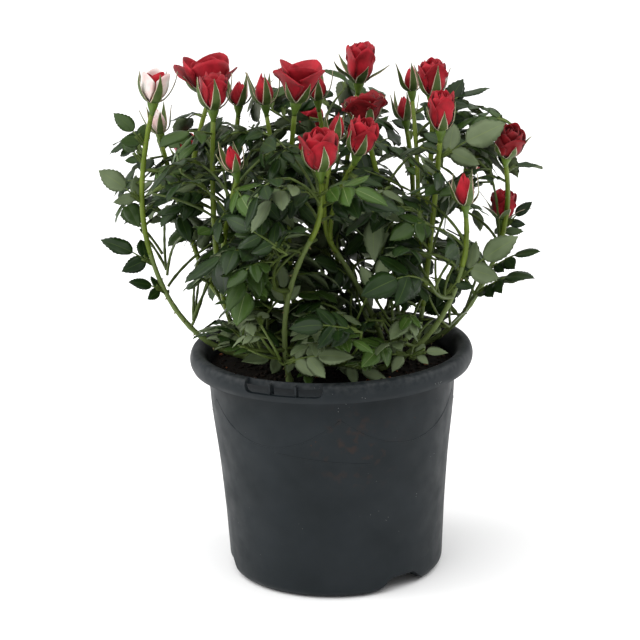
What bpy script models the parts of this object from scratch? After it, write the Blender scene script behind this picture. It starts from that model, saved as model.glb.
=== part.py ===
"""Rose bush in a nursery pot: a rolled-rim pot, its compost, the canes that rise and spread from it, and the
masses of leaves and blooms that the canes carry.

Metres, +Z up. The origin is the middle of the pot's flat underside, and the front of the bush faces -Y.
"""

import math
import random
from collections import namedtuple

import bmesh
import bpy
from mathutils import Quaternion, Vector
from mathutils.bvhtree import BVHTree

# ---- clearances and mesh fineness ----------------------------------------------------------------
GAP = 0.0003  # between solids that stand on or in each other
CLEAR = 0.0008  # between a leaf and everything else in the crown
TURNS = 36  # sides of the pot and the compost
CANE_STEPS = 6
SHOOT_STEPS = 5

# ---- the pot -------------------------------------------------------------------------------------
POT_WALL = 0.0018
POT_FLOOR = 0.0020
LIP = (0.1084, 0.1878)  # radius and height of the rolled lip's crest
RIM_OUTSIDE = ((0.1128, 0.1866), (0.1150, 0.1813), (0.1148, 0.1763), (0.1130, 0.1723))
RIM_UNDERSIDE = ((0.1112, 0.1723), (0.1116, 0.1833), (0.1040, 0.1813))
BODY_SIDE = ((0.1006, 0.1738), (0.0987, 0.1390), (0.0938, 0.0956), (0.0902, 0.0516))
WALL_FLARE = ((0.1022, 0.1828), (0.1052, 0.1866))  # inside the rim, from the wall up to the lip
HEEL_RADIUS = 0.0878  # of the side where it turns under
HEEL_ROUND = 0.0080
RING_INSIDE = 0.0765  # the foot ring's inner edge
CHANNEL_TOP = 0.0125  # the drainage channel between the foot ring and the middle foot
FOOT_RADIUS = 0.0500
ARCHES = 3
ARCH_ANGLE = math.radians(-52.4)  # of the first drainage arch, from +X
ARCH_HALF = math.radians(21.0)
ARCH_HEIGHT = 0.0124
GRIPS = 2
GRIP_ANGLE = math.radians(-110.4)  # middle of the first hand hold in the rim, from +X
GRIP_HALF = math.radians(16.5)
GRIP_FLOOR = 0.1776
GRIP_INSIDE = 0.1088
GRIP_CORNER = 0.0050
RIB_WIDTH = 0.0012

# ---- the compost ---------------------------------------------------------------------------------
SOIL_TOP = 0.1758
SOIL_EDGE = 0.1738

# ---- canes: each rises from its foot towards a guide point, and bends over to its tip ------------
CANE_FOOT_RADIUS = 0.0027
CANE_TIP_RADIUS = 0.0019
Cane = namedtuple("Cane", "name foot guide tip")
CANES = (
    Cane("left", (-0.068, 0.006), (-0.126, 0.000, 0.191), (-0.144, 0.000, 0.269)),
    Cane("left_back", (-0.058, 0.036), (-0.076, 0.044, 0.198), (-0.092, 0.048, 0.218)),
    Cane("centre_left", (-0.066, 0.018), (-0.080, 0.004, 0.198), (-0.084, -0.008, 0.222)),
    Cane("front_left", (-0.034, -0.057), (-0.045, -0.055, 0.239), (-0.013, -0.078, 0.296)),
    Cane("centre_front", (0.045, 0.013), (0.031, -0.006, 0.228), (0.005, -0.020, 0.271)),
    Cane("centre", (0.058, 0.028), (0.056, 0.024, 0.198), (0.055, 0.021, 0.218)),
    Cane("right_front", (0.040, -0.034), (0.090, -0.040, 0.199), (0.105, -0.051, 0.265)),
    Cane("right_middle", (0.066, -0.008), (0.072, -0.008, 0.200), (0.075, -0.009, 0.222)),
    Cane("right_back", (0.050, 0.050), (0.060, 0.047, 0.196), (0.066, 0.045, 0.216)),
    Cane("right", (0.074, 0.030), (0.110, 0.028, 0.187), (0.135, 0.030, 0.246)),
    Cane("centre_middle", (-0.022, 0.015), (-0.027, 0.012, 0.196), (-0.029, 0.010, 0.216)),
    Cane("back_middle", (0.004, 0.060), (0.005, 0.068, 0.196), (0.006, 0.074, 0.216)),
    Cane("back_left", (-0.042, 0.062), (-0.053, 0.078, 0.196), (-0.062, 0.088, 0.216)),
    Cane("back_right", (0.040, 0.072), (0.050, 0.088, 0.195), (0.059, 0.095, 0.214)),
    Cane("back", (-0.002, 0.078), (-0.004, 0.094, 0.208), (-0.006, 0.116, 0.226)),
)

# ---- masses: shoots that grow on from a cane's tip, or from its side at a share of its length ----
Shoot = namedtuple("Shoot", "tip bloom turn")  # turn is the compass bearing of its lowest leaf, from +X
Mass = namedtuple("Mass", "name cane along shoots blind")  # blind is how many flowerless side shoots it grows
TIP = 1.0
MASSES = (
    Mass("left", "left", TIP, (Shoot((-0.136, 0.000, 0.389), "half", 200),), 1),
    Mass("left_back", "left_back", TIP,
         (Shoot((-0.100, 0.070, 0.379), "open", 120), Shoot((-0.135, 0.050, 0.352), "bud", 190)), 0),
    Mass("centre_left", "centre_left", TIP,
         (Shoot((-0.083, -0.020, 0.384), "half", 230), Shoot((-0.072, -0.080, 0.350), "bud", 250)), 0),
    Mass("front_left", "front_left", TIP, (Shoot((-0.003, -0.090, 0.351), "open", 200),), 1),
    Mass("centre_front", "centre_front", TIP,
         (Shoot((0.008, 0.000, 0.356), "bud", 100), Shoot((0.029, -0.050, 0.355), "half", 300)), 0),
    Mass("centre", "centre", TIP, (Shoot((0.033, 0.030, 0.364), "open", 60),), 1),
    Mass("right_front", "right_front", TIP, (Shoot((0.109, -0.060, 0.320), "bud", 320),), 1),
    Mass("right_middle", "right_middle", TIP, (Shoot((0.092, -0.030, 0.368), "half", 280),), 1),
    Mass("right_back", "right_back", TIP,
         (Shoot((0.088, 0.040, 0.379), "half", 20), Shoot((0.073, 0.090, 0.378), "bud", 80)), 0),
    Mass("right", "right", TIP,
         (Shoot((0.149, -0.010, 0.342), "half", 340), Shoot((0.150, 0.030, 0.277), "bud", 10),
          Shoot((0.130, 0.012, 0.330), None, 170)), 0),
    Mass("centre_middle", "centre_middle", TIP,
         (Shoot((-0.025, -0.010, 0.387), "open", 200), Shoot((-0.048, 0.020, 0.383), "bud", 150)), 0),
    Mass("back_middle", "back_middle", TIP,
         (Shoot((0.030, 0.085, 0.383), "half", 60), Shoot((-0.009, 0.060, 0.374), "bud", 130)), 0),
    Mass("back_left", "back_left", TIP,
         (Shoot((-0.071, 0.100, 0.368), "bud", 110), Shoot((-0.118, 0.112, 0.317), "half", 160)), 0),
    Mass("back_right", "back_right", TIP,
         (Shoot((0.067, 0.120, 0.348), "bud", 80), Shoot((0.124, 0.100, 0.307), "half", 30)), 0),
    Mass("back", "back", TIP, (Shoot((-0.012, 0.150, 0.329), "half", 90),), 1),
    Mass("low_left", "left", 0.45, (Shoot((-0.112, -0.042, 0.232), None, 200),), 0),
    Mass("low_left_back", "left", 0.70, (Shoot((-0.138, 0.048, 0.258), None, 160),), 0),
    Mass("low_front_left", "front_left", 0.20, (Shoot((-0.070, -0.070, 0.208), None, 200),), 0),
    Mass("low_front", "front_left", 0.10, (Shoot((0.004, -0.074, 0.203), None, 350),), 0),
    Mass("middle_front", "front_left", 0.60, (Shoot((-0.052, -0.085, 0.272), None, 190),), 0),
    Mass("low_front_right", "right_front", 0.30, (Shoot((0.056, -0.078, 0.212), None, 350),), 0),
    Mass("middle_right", "right_front", 0.75, (Shoot((0.078, -0.084, 0.258), None, 240),), 0),
    Mass("low_middle", "centre_front", 0.35, (Shoot((0.060, -0.018, 0.236), None, 260),), 0),
    Mass("low_right", "right", 0.50, (Shoot((0.120, -0.010, 0.232), None, 330),), 0),
    Mass("low_back", "back_middle", 0.40, (Shoot((0.030, 0.112, 0.220), None, 60),), 0),
    Mass("low_back_left", "back_left", 0.40, (Shoot((-0.088, 0.064, 0.222), None, 160),), 0),
)
SEED = 11
SHOOT_FOOT_RADIUS = 0.0016
SIDE_SHOOT_RADIUS = 0.0013  # at its foot, in the middle of its parent
SHOOT_TIP_RADIUS = 0.0012
SHOOT_SPRING = 0.42  # share of its length for which a shoot follows its parent, before it turns to its tip
FORK_AT = 0.12  # where a second flowering shoot leaves the first, as a share of the first's length
BLIND_LENGTH = (0.045, 0.070)
BLIND_RISE = math.radians(40)

# ---- the crown's space: an oval in plan ----------------------------------------------------------
CROWN_MIDDLE = (-0.003, 0.015)
CROWN_REACH = (0.184, 0.176)
RIM_CLEAR = 0.206  # lower than this, a leaf stays inside the pot's lip

# ---- leaves: a three-sided stalk with pairs of leaflets drawn out of its sides, and one at its end
LEAF_SPACING = 0.0265  # along a shoot
LEAF_TURN = 137.5  # degrees from one leaf to the next, round a shoot
BARE_NECK = 0.021  # of a flowering shoot, under its bloom
BARE_FOOT = 0.012  # of any shoot
LEAF_RISE = (10, 42)  # degrees over level at which a stalk leaves its shoot
LEAF_DROOP = (14, 30)  # degrees that it bends down by at each joint past the first
LEAF_LEAN = (15, 60)  # degrees that a leaf along the crown's side turns its face outwards
LEAFLET_LENGTH = 0.029
LEAFLET_WIDTH = 0.72  # of its length
FIRST_LEAFLETS = 0.86  # length of the pair nearest the shoot, as a share of the leaf's leaflet length
END_LEAFLET = 1.08  # length of the one at the leaf's end
LEAFLET_THICK = 0.040  # of its length, at its middle
LEAFLET_WIDEST = 0.45  # of its length, from its root
LEAFLET_DROOP = 0.20  # how far a side leaflet hangs from its stalk's plane, as a share of its length
LEAFLET_ROOT = 0.0026  # width of its root along the stalk
LEAFLET_SPLAY = math.radians(58)
STALK_JOINTS = (0.55, 1.02, 1.42)  # of the leaflet length, from the shoot to each pair and the last one
STALK_ROOT_RADIUS = 0.0006  # in the middle of its shoot
STALK_RADIUS = 0.0009
STALK_TIP_RADIUS = 0.0006
TOP_LEAF = 0.88  # size of the leaf under a bloom, which has three leaflets
TRIES = 14
SHRINK = 0.03  # by which a leaf is made smaller at each try

# ---- blooms: profiles of radius and height up their axis, from the neck of the stalk -------------
BLOOM_SIDES = 10  # every other one is drawn out into a sepal
Bloom = namedtuple("Bloom", "radii heights crown sepal")  # sepal is the reach and height of a sepal's tip
BLOOMS = {
    "bud": Bloom((0.0014, 0.0032, 0.0040, 0.0058), (-0.002, 0.004, 0.009, 0.015), 0.030, (0.0110, 0.024)),
    "half": Bloom((0.0014, 0.0036, 0.0060, 0.0112, 0.0098), (-0.002, 0.004, 0.009, 0.016, 0.031), 0.029,
                  (0.0185, 0.020)),
    "open": Bloom((0.0014, 0.0038, 0.0064, 0.0160, 0.0170), (-0.002, 0.004, 0.009, 0.018, 0.028), 0.023,
                  (0.0200, 0.011)),
}
SEPAL_RING = 2  # the ring whose every other point is a sepal's tip

# ---- colours: base colour and roughness ----------------------------------------------------------
FINISHES = {
    "pot_plastic": ((0.028, 0.032, 0.036), 0.48),
    "compost": ((0.012, 0.009, 0.007), 0.95),
    "cane_bark": ((0.115, 0.160, 0.035), 0.60),
    "foliage": ((0.030, 0.080, 0.022), 0.50),
}
UP = Vector((0, 0, 1))


# ---- small tools ---------------------------------------------------------------------------------
def clear_scene():
    for obj in list(bpy.data.objects):
        bpy.data.objects.remove(obj, do_unlink=True)


def new_collection(name):
    collection = bpy.data.collections.new(name)
    bpy.context.scene.collection.children.link(collection)
    return collection


def finish_material(name):
    material = bpy.data.materials.get(name)
    if material is None:
        color, roughness = FINISHES[name]
        material = bpy.data.materials.new(name)
        material.use_nodes = True
        shader = material.node_tree.nodes["Principled BSDF"]
        shader.inputs["Base Color"].default_value = (*color, 1.0)
        shader.inputs["Roughness"].default_value = roughness
        shader.inputs["Metallic"].default_value = 0.0
        material.diffuse_color = (*color, 1.0)
    return material


def mesh_object(name, bm, collection, material=None):
    mesh = bpy.data.meshes.new(name)
    bmesh.ops.recalc_face_normals(bm, faces=bm.faces)
    bm.to_mesh(mesh)
    bm.free()
    obj = bpy.data.objects.new(name, mesh)
    collection.objects.link(obj)
    if material:
        mesh.materials.append(finish_material(material))
    return obj


def evaluated_mesh(obj):
    bpy.context.view_layer.update()
    graph = bpy.context.evaluated_depsgraph_get()
    return bpy.data.meshes.new_from_object(obj.evaluated_get(graph))


def loft(bm, rings):
    """Joins rings of points into one closed skin. Returns its walls, ring by ring, and its two ends."""
    loops = [[bm.verts.new(point) for point in ring] for ring in rings]
    count = len(loops[0])
    walls = []
    for low, high in zip(loops, loops[1:]):
        nexts = [(i + 1) % count for i in range(count)]
        walls.append([bm.faces.new((low[i], low[j], high[j], high[i])) for i, j in enumerate(nexts)])
    return walls, (bm.faces.new(loops[0][::-1]), bm.faces.new(loops[-1]))


def polar(radius, angle, height):
    return Vector((radius * math.cos(angle), radius * math.sin(angle), height))


def bezier(start, guide, end, steps):
    """Points of a curve that leaves start towards guide and reaches end from it."""
    points = []
    for i in range(steps + 1):
        t = i / steps
        points.append(start * (1 - t) ** 2 + guide * 2 * t * (1 - t) + end * t * t)
    return points


def along_line(points, distance):
    """The point at a distance along a line of points, and the direction there."""
    for a, b in zip(points, points[1:]):
        step = (b - a).length
        if distance <= step:
            break
        distance -= step
    return a.lerp(b, min(distance / step, 1.0)), (b - a).normalized()


def line_length(points):
    return sum((b - a).length for a, b in zip(points, points[1:]))


def tapering(start, end, count):
    return [start + (end - start) * i / (count - 1) for i in range(count)]


def limb_rings(points, radii, sides):
    """Rings square to a line of points, turned as little as they can be from one to the next."""
    steps = [(b - a).normalized() for a, b in zip(points, points[1:])]
    tangents = [steps[0]] + [(a + b).normalized() for a, b in zip(steps, steps[1:])] + [steps[-1]]
    side = tangents[0].orthogonal().normalized()
    rings = []
    for i, (point, tangent, radius) in enumerate(zip(points, tangents, radii)):
        if i:
            side = tangents[i - 1].rotation_difference(tangent) @ side
        turned = [Quaternion(tangent, math.tau * k / sides) @ side for k in range(sides)]
        rings.append([point + spoke * radius for spoke in turned])
    return rings


# ---- the pot and its compost ---------------------------------------------------------------------
def turned(name, profile, collection, material):
    """A solid of revolution, of TURNS sides: a profile of (radius, height) from the axis back to it."""
    bm = bmesh.new()
    verts = [bm.verts.new((radius, 0, height)) for radius, height in profile]
    for a, b in zip(verts, verts[1:]):
        bm.edges.new((a, b))
    mesh = bpy.data.meshes.new(name)
    bm.to_mesh(mesh)
    bm.free()
    obj = bpy.data.objects.new(name, mesh)
    collection.objects.link(obj)
    mesh.materials.append(finish_material(material))
    screw = obj.modifiers.new("turn", "SCREW")
    screw.steps = screw.render_steps = TURNS
    screw.use_merge_vertices = True
    screw.merge_threshold = 0.0001
    screw.use_smooth_shade = True
    return obj


def heel_profile():
    """The quarter round where the pot's side turns under to its foot ring."""
    centre = HEEL_RADIUS - HEEL_ROUND
    angles = [math.radians(a) for a in (0, 40, 90)]
    return [(centre + HEEL_ROUND * math.cos(a), HEEL_ROUND * (1 - math.sin(a))) for a in angles]


def inner_wall():
    """The inside of the pot's wall, from its floor up to the lip."""
    top, middle, *_ = BODY_SIDE
    low = (HEEL_RADIUS - POT_WALL, CHANNEL_TOP + POT_FLOOR)
    return [low, (middle[0] - POT_WALL, middle[1]), (top[0] - POT_WALL, top[1]), *WALL_FLARE]


def pot_profile():
    floor = [
        (0.0, POT_FLOOR),
        (FOOT_RADIUS - POT_FLOOR, POT_FLOOR),
        (FOOT_RADIUS, CHANNEL_TOP + POT_FLOOR),
    ]
    underside = [
        (RING_INSIDE, 0.0),
        (RING_INSIDE - 0.001, CHANNEL_TOP),
        (FOOT_RADIUS + POT_FLOOR, CHANNEL_TOP),
        (FOOT_RADIUS, 0.0),
        (0.0, 0.0),
    ]
    outside = [LIP, *RIM_OUTSIDE, *RIM_UNDERSIDE, *BODY_SIDE, *heel_profile()]
    return floor + inner_wall() + outside + underside


def arch_cutter(number, collection):
    """Cuts a bell-shaped drainage arch through the foot ring."""
    middle = ARCH_ANGLE + number * math.tau / ARCHES
    inside, outside, low = RING_INSIDE - 0.006, HEEL_RADIUS + 0.006, -0.004
    bm = bmesh.new()
    rings = []
    steps = 12
    for i in range(steps + 1):
        share = 2 * i / steps - 1
        angle = middle + share * ARCH_HALF
        top = ARCH_HEIGHT * (1 + math.cos(math.pi * share)) / 2 + 0.0001
        top = min(top * 1.35, ARCH_HEIGHT)
        corners = ((inside, low), (outside, low), (outside, top), (inside, top))
        rings.append([polar(radius, angle, height) for radius, height in corners])
    loft(bm, rings)
    return mesh_object(f"arch_cutter_{number}", bm, collection)


def grip_cutter(number, collection):
    """Cuts a hand hold out of the rolled rim, with round lower corners."""
    middle = GRIP_ANGLE + number * math.tau / GRIPS
    corner = GRIP_CORNER / LIP[0]
    outside, top = LIP[0] + 0.012, LIP[1] + 0.006
    bm = bmesh.new()
    rings = []
    steps = 16
    for i in range(steps + 1):
        offset = (2 * i / steps - 1) * GRIP_HALF
        into_corner = max(0.0, (abs(offset) - (GRIP_HALF - corner)) / corner)
        low = GRIP_FLOOR + GRIP_CORNER * (1 - math.sqrt(max(0.0, 1 - into_corner**2)))
        angle = middle + offset
        corners = ((GRIP_INSIDE, low), (outside, low), (outside, top), (GRIP_INSIDE, top))
        rings.append([polar(radius, angle, height) for radius, height in corners])
    loft(bm, rings)
    return mesh_object(f"grip_cutter_{number}", bm, collection)


def grip_rib(number, side, collection):
    """One of the two gussets that cross each hand hold, from the wall to the rim's skirt."""
    angle = GRIP_ANGLE + number * math.tau / GRIPS + side * GRIP_HALF / 3
    bm = bmesh.new()
    bmesh.ops.create_cube(bm, size=1.0)
    inside, outside, low, high = 0.1060, 0.1130, GRIP_FLOOR - 0.002, LIP[1] - 0.0022
    bmesh.ops.scale(bm, vec=(outside - inside, RIB_WIDTH, high - low), verts=bm.verts)
    bmesh.ops.translate(bm, vec=((inside + outside) / 2, 0, (low + high) / 2), verts=bm.verts)
    turn = Quaternion(UP, angle).to_matrix()
    bmesh.ops.rotate(bm, cent=(0, 0, 0), matrix=turn, verts=bm.verts)
    return mesh_object(f"grip_rib_{number}_{side}", bm, collection)


def combine(obj, operation, collection):
    """Cuts a collection from a solid, or fuses it on, and then removes the collection."""
    modifier = obj.modifiers.new(operation.lower(), "BOOLEAN")
    modifier.operation = operation
    modifier.operand_type = "COLLECTION"
    modifier.collection = collection
    modifier.solver = "EXACT"
    result = evaluated_mesh(obj)
    obj.modifiers.clear()
    obj.data = result
    for other in list(collection.objects):
        bpy.data.objects.remove(other, do_unlink=True)
    bpy.data.collections.remove(collection)


def make_pot(parts):
    pot = turned("pot", pot_profile(), parts, "pot_plastic")
    cutters = new_collection("pot_cutters")
    ribs = new_collection("pot_ribs")
    for number in range(ARCHES):
        arch_cutter(number, cutters)
    for number in range(GRIPS):
        grip_cutter(number, cutters)
        for side in (-1, 1):
            grip_rib(number, side, ribs)
    combine(pot, "DIFFERENCE", cutters)
    combine(pot, "UNION", ribs)
    return pot


def make_soil(parts):
    inside = [(radius - GAP, height) for radius, height in inner_wall() if height < SOIL_EDGE - 0.002]
    floor = CHANNEL_TOP + POT_FLOOR + GAP
    inside[0] = (inside[0][0], floor)
    top_radius = BODY_SIDE[0][0] - POT_WALL - GAP
    profile = [
        (0.0, SOIL_TOP),
        (top_radius * 0.93, SOIL_TOP),
        (top_radius, SOIL_EDGE),
        *reversed(inside),
        (FOOT_RADIUS - GAP, floor),
        (FOOT_RADIUS - POT_FLOOR - GAP, POT_FLOOR + GAP),
        (0.0, POT_FLOOR + GAP),
    ]
    return turned("soil", profile, parts, "compost")


# ---- canes ---------------------------------------------------------------------------------------
def cane_points(cane, steps):
    foot = Vector((*cane.foot, SOIL_TOP))
    return bezier(foot, Vector(cane.guide), Vector(cane.tip), steps)


def cane_radius(share):
    return CANE_FOOT_RADIUS + (CANE_TIP_RADIUS - CANE_FOOT_RADIUS) * share


def make_cane(cane, parts):
    """A tapering round curve from below the compost's top, cut flat just above it."""
    foot, *rest = cane_points(cane, CANE_STEPS)
    below = foot + (foot - rest[0]).normalized() * 0.006
    points = [below, foot, *rest]
    curve = bpy.data.curves.new("cane_curve", "CURVE")
    curve.dimensions = "3D"
    curve.bevel_depth = 1.0
    curve.bevel_resolution = 1
    curve.use_fill_caps = True
    line = curve.splines.new("POLY")
    line.points.add(len(points) - 1)
    radii = [CANE_FOOT_RADIUS, *tapering(CANE_FOOT_RADIUS, CANE_TIP_RADIUS, CANE_STEPS + 1)]
    for control, point, radius in zip(line.points, points, radii):
        control.co = (*point, 1.0)
        control.radius = radius
    guide = bpy.data.objects.new("cane_curve", curve)
    parts.objects.link(guide)
    mesh = evaluated_mesh(guide)
    bpy.data.objects.remove(guide)
    bm = bmesh.new()
    bm.from_mesh(mesh)
    bpy.data.meshes.remove(mesh)
    bmesh.ops.remove_doubles(bm, verts=bm.verts, dist=1e-6)
    everything = [*bm.verts, *bm.edges, *bm.faces]
    cut = bmesh.ops.bisect_plane(
        bm, geom=everything, plane_co=(0, 0, SOIL_TOP + GAP), plane_no=(0, 0, -1), clear_outer=True
    )
    edges = [item for item in cut["geom_cut"] if isinstance(item, bmesh.types.BMEdge)]
    bmesh.ops.edgeloop_fill(bm, edges=edges)
    obj = mesh_object(f"cane_{cane.name}", bm, parts, "cane_bark")
    obj.data.shade_smooth()
    return obj


# ---- shoots --------------------------------------------------------------------------------------
Stem = namedtuple("Stem", "points bloom turn neck radius")  # radius at its foot


def first_stem(mass, shoot):
    """The shoot that meets the cane: end to end at its tip, or square to its side."""
    cane = next(item for item in CANES if item.name == mass.cane)
    line = cane_points(cane, CANE_STEPS)
    tip = Vector(shoot.tip)
    neck = BARE_NECK if shoot.bloom else 0.004
    if mass.along == TIP:
        heading = (line[-1] - line[-2]).normalized()
        start = line[-1] + heading * GAP
        lead = [start]
    else:
        middle, tangent = along_line(line, mass.along * line_length(line))
        heading = tip - middle
        heading = (heading - tangent * heading.dot(tangent)).normalized()
        surface = middle + heading * (cane_radius(mass.along) + GAP)
        start = surface + heading * 0.003
        lead = [surface, start]
    guide = start + heading * SHOOT_SPRING * (tip - start).length
    points = lead + bezier(start, guide, tip, SHOOT_STEPS)[1:]
    return Stem(points, shoot.bloom, shoot.turn, neck, SHOOT_FOOT_RADIUS)


def side_stem(parent, share, tip, bloom, turn):
    """A shoot that leaves another's middle line."""
    start, tangent = along_line(parent.points, share * line_length(parent.points))
    tip = Vector(tip)
    reach = (tip - start).length
    heading = (tangent + (tip - start).normalized()).normalized()
    points = bezier(start, start + heading * SHOOT_SPRING * reach, tip, SHOOT_STEPS)
    return Stem(points, bloom, turn, BARE_NECK if bloom else 0.004, SIDE_SHOOT_RADIUS)


def blind_stem(parent, number, rng):
    """A flowerless shoot, sent out by the rule."""
    share = rng.uniform(0.18, 0.42)
    bearing = math.radians(parent.turn + 70 + 200 * number + rng.uniform(-25, 25))
    length = rng.uniform(*BLIND_LENGTH)
    start, _ = along_line(parent.points, share * line_length(parent.points))
    tip = start + polar(length * math.cos(BLIND_RISE), bearing, length * math.sin(BLIND_RISE))
    return side_stem(parent, share, tip, None, math.degrees(bearing) + 100)


def stem_mesh(stem, grow, skip=0):
    points = stem.points[skip:]
    radii = tapering(stem.radius, SHOOT_TIP_RADIUS, len(stem.points))[skip:]
    bm = bmesh.new()
    loft(bm, limb_rings(points, [radius + grow for radius in radii], 3))
    return bm


# ---- leaves --------------------------------------------------------------------------------------
Frame = namedtuple("Frame", "point forward across up")


def leaf_frames(root, bearing, rise, droop, lean, size, joints):
    """Frames along a stalk that arches out over a bearing: its root, each pair of leaflets and its end.

    A leaf that points along the crown's side, not out of it, leans its upper face outwards.
    """
    outward = polar(1.0, bearing, 0.0)
    radial = Vector((root.x, root.y, 0)).normalized()
    facing = UP + radial * math.tan(lean) * (1 - abs(outward.dot(radial)))
    point = root
    frames = []
    for i, joint in enumerate(joints):
        pitch = rise - droop * max(i - 1, 0)
        forward = outward * math.cos(pitch) + UP * math.sin(pitch)
        up = (facing - forward * facing.dot(forward)).normalized()
        step = joint - (joints[i - 1] if i else 0.0)
        point = point + forward * step * LEAFLET_LENGTH * size
        frames.append(Frame(point, forward, up.cross(forward), up))
    return frames


def stalk_ring(frame, shift, radius):
    """Left, right and keel points of a stalk's ring, at a shift along it from a frame."""
    middle = frame.point + frame.forward * shift
    left = middle + frame.across * radius + frame.up * radius / 2
    right = middle - frame.across * radius + frame.up * radius / 2
    keel = middle - frame.up * radius
    return [left, right, keel]


def draw_out_leaflet(bm, face, along, facing, length, grow):
    """Draws a face of a stalk out into a leaflet: wide at its middle, with a keel under it, and pointed."""
    middle = face.calc_center_median()
    across = along.cross(facing).normalized()
    up = across.cross(along)
    widest = middle + along * length * LEAFLET_WIDEST
    end = bmesh.ops.extrude_discrete_faces(bm, faces=[face])["faces"][0]
    *keel, first, second = sorted(end.verts, key=lambda vert: (vert.co - middle).dot(up))
    half_width = length * LEAFLET_WIDTH / 2 + grow
    for vert in (first, second):
        vert.co = widest + across * math.copysign(half_width, (vert.co - middle).dot(across))
    tip = bmesh.ops.poke(bm, faces=[end])["verts"][0]
    tip.co = middle + along * (length + grow)
    bmesh.ops.pointmerge(bm, verts=keel, merge_co=widest - up * length * LEAFLET_THICK)


def leaf_mesh(frames, size, grow=0.0, lift=0.0, skip=0.0):
    """A whole leaf as one closed skin. To test for room, grow widens it and lift moves it off itself."""
    length = LEAFLET_LENGTH * size
    half_root = LEAFLET_ROOT / 2
    stalk = tapering(STALK_RADIUS, STALK_TIP_RADIUS, len(frames) - 1)
    start = (frames[1].point - frames[0].point).length * skip
    rings = [stalk_ring(frames[0], start, STALK_ROOT_RADIUS + grow)]
    for frame, radius in zip(frames[1:-1], stalk):
        rings.append(stalk_ring(frame, -half_root, radius + grow))
        rings.append(stalk_ring(frame, half_root, radius + grow))
    rings.append(stalk_ring(frames[-1], 0.0, stalk[-1] + grow))
    bm = bmesh.new()
    walls, caps = loft(bm, rings)
    end = frames[-1]
    along = (end.forward - end.up * LEAFLET_DROOP).normalized()
    draw_out_leaflet(bm, caps[1], along, end.up, length * END_LEAFLET, grow)
    for number, frame in enumerate(frames[1:-1]):
        right_wall, left_wall = walls[2 * number + 1][1:]
        for face, hand in ((right_wall, -1), (left_wall, 1)):
            along = frame.forward * math.cos(LEAFLET_SPLAY) + frame.across * hand * math.sin(LEAFLET_SPLAY)
            along = (along - frame.up * LEAFLET_DROOP).normalized()
            share = FIRST_LEAFLETS + (1 - FIRST_LEAFLETS) * number / 2
            draw_out_leaflet(bm, face, along, frame.up, length * share, grow)
    bmesh.ops.translate(bm, vec=frames[1].up * lift, verts=bm.verts)
    return bm


# ---- blooms --------------------------------------------------------------------------------------
def bloom_mesh(stem):
    """A bud or flower round the end of its shoot: rings up its height, one of them drawn out into sepals."""
    bloom = BLOOMS[stem.bloom]
    base = stem.points[-1]
    axis = (base - stem.points[-2]).normalized()
    side = axis.orthogonal().normalized()
    spokes = [Quaternion(axis, math.tau * k / BLOOM_SIDES) @ side for k in range(BLOOM_SIDES)]
    rings = []
    for number, (radius, height) in enumerate(zip(bloom.radii, bloom.heights)):
        ring = [base + axis * height + spoke * radius for spoke in spokes]
        if number == SEPAL_RING:
            reach, rise = bloom.sepal
            for k in range(0, BLOOM_SIDES, 2):
                ring[k] = base + axis * rise + spokes[k] * reach
        rings.append(ring)
    bm = bmesh.new()
    _, ends = loft(bm, rings)
    crown = bmesh.ops.poke(bm, faces=[ends[1]])["verts"][0]
    crown.co = base + axis * bloom.crown
    return bm


# ---- keeping every mass to its own space ---------------------------------------------------------
Shape = namedtuple("Shape", "tree low high")


def shape_of(bm):
    low = Vector(min(vert.co[i] for vert in bm.verts) for i in range(3))
    high = Vector(max(vert.co[i] for vert in bm.verts) for i in range(3))
    shape = Shape(BVHTree.FromBMesh(bm), low, high)
    bm.free()
    return shape


def touches(shape, others):
    for other in others:
        if all(shape.low[i] <= other.high[i] and other.low[i] <= shape.high[i] for i in range(3)):
            if shape.tree.overlap(other.tree):
                return True
    return False


def object_shape(obj):
    mesh = evaluated_mesh(obj)
    bm = bmesh.new()
    bm.from_mesh(mesh)
    bpy.data.meshes.remove(mesh)
    return shape_of(bm)


def in_space(point):
    """Whether a point is in the crown's oval, and not low down outside the pot's lip."""
    across, back = point.x - CROWN_MIDDLE[0], point.y - CROWN_MIDDLE[1]
    if math.hypot(across / CROWN_REACH[0], back / CROWN_REACH[1]) > 1.0:
        return False
    return point.z > RIM_CLEAR or math.hypot(point.x, point.y) < LIP[0]


def leaf_fits(frames, size, taken):
    """Whether a leaf stays in the crown's space and, but for its stalk's foot, clears everything taken."""
    for lift in (-CLEAR, 0.0, CLEAR):
        bm = leaf_mesh(frames, size, CLEAR, lift, skip=0.4)
        if not all(in_space(vert.co) for vert in bm.verts):
            bm.free()
            return False
        if touches(shape_of(bm), taken):
            return False
    return True


# ---- growing the crown ---------------------------------------------------------------------------
def mass_stems(mass, taken):
    """The shoots that the table gives a mass."""
    stems = [first_stem(mass, mass.shoots[0])]
    for shoot in mass.shoots[1:]:
        stems.append(side_stem(stems[0], FORK_AT, *shoot))
    taken += [shape_of(stem_mesh(stem, 0.0)) for stem in stems]
    taken += [shape_of(bloom_mesh(stem)) for stem in stems if stem.bloom]
    return stems


def blind_stems(mass, stems, rng, taken):
    """The flowerless shoots of a mass that clear everything taken so far."""
    found = []
    for number in range(mass.blind):
        stem = blind_stem(stems[0], number, rng)
        if not touches(shape_of(stem_mesh(stem, CLEAR, skip=1)), taken):
            taken.append(shape_of(stem_mesh(stem, 0.0)))
            found.append(stem)
    return found


def leaf_places(stem):
    """Distances along a shoot at which it carries leaves, from its top down."""
    span = line_length(stem.points) - stem.neck
    count = int((span - BARE_FOOT) / LEAF_SPACING) + 1
    return [span - number * LEAF_SPACING for number in range(count)]


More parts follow.
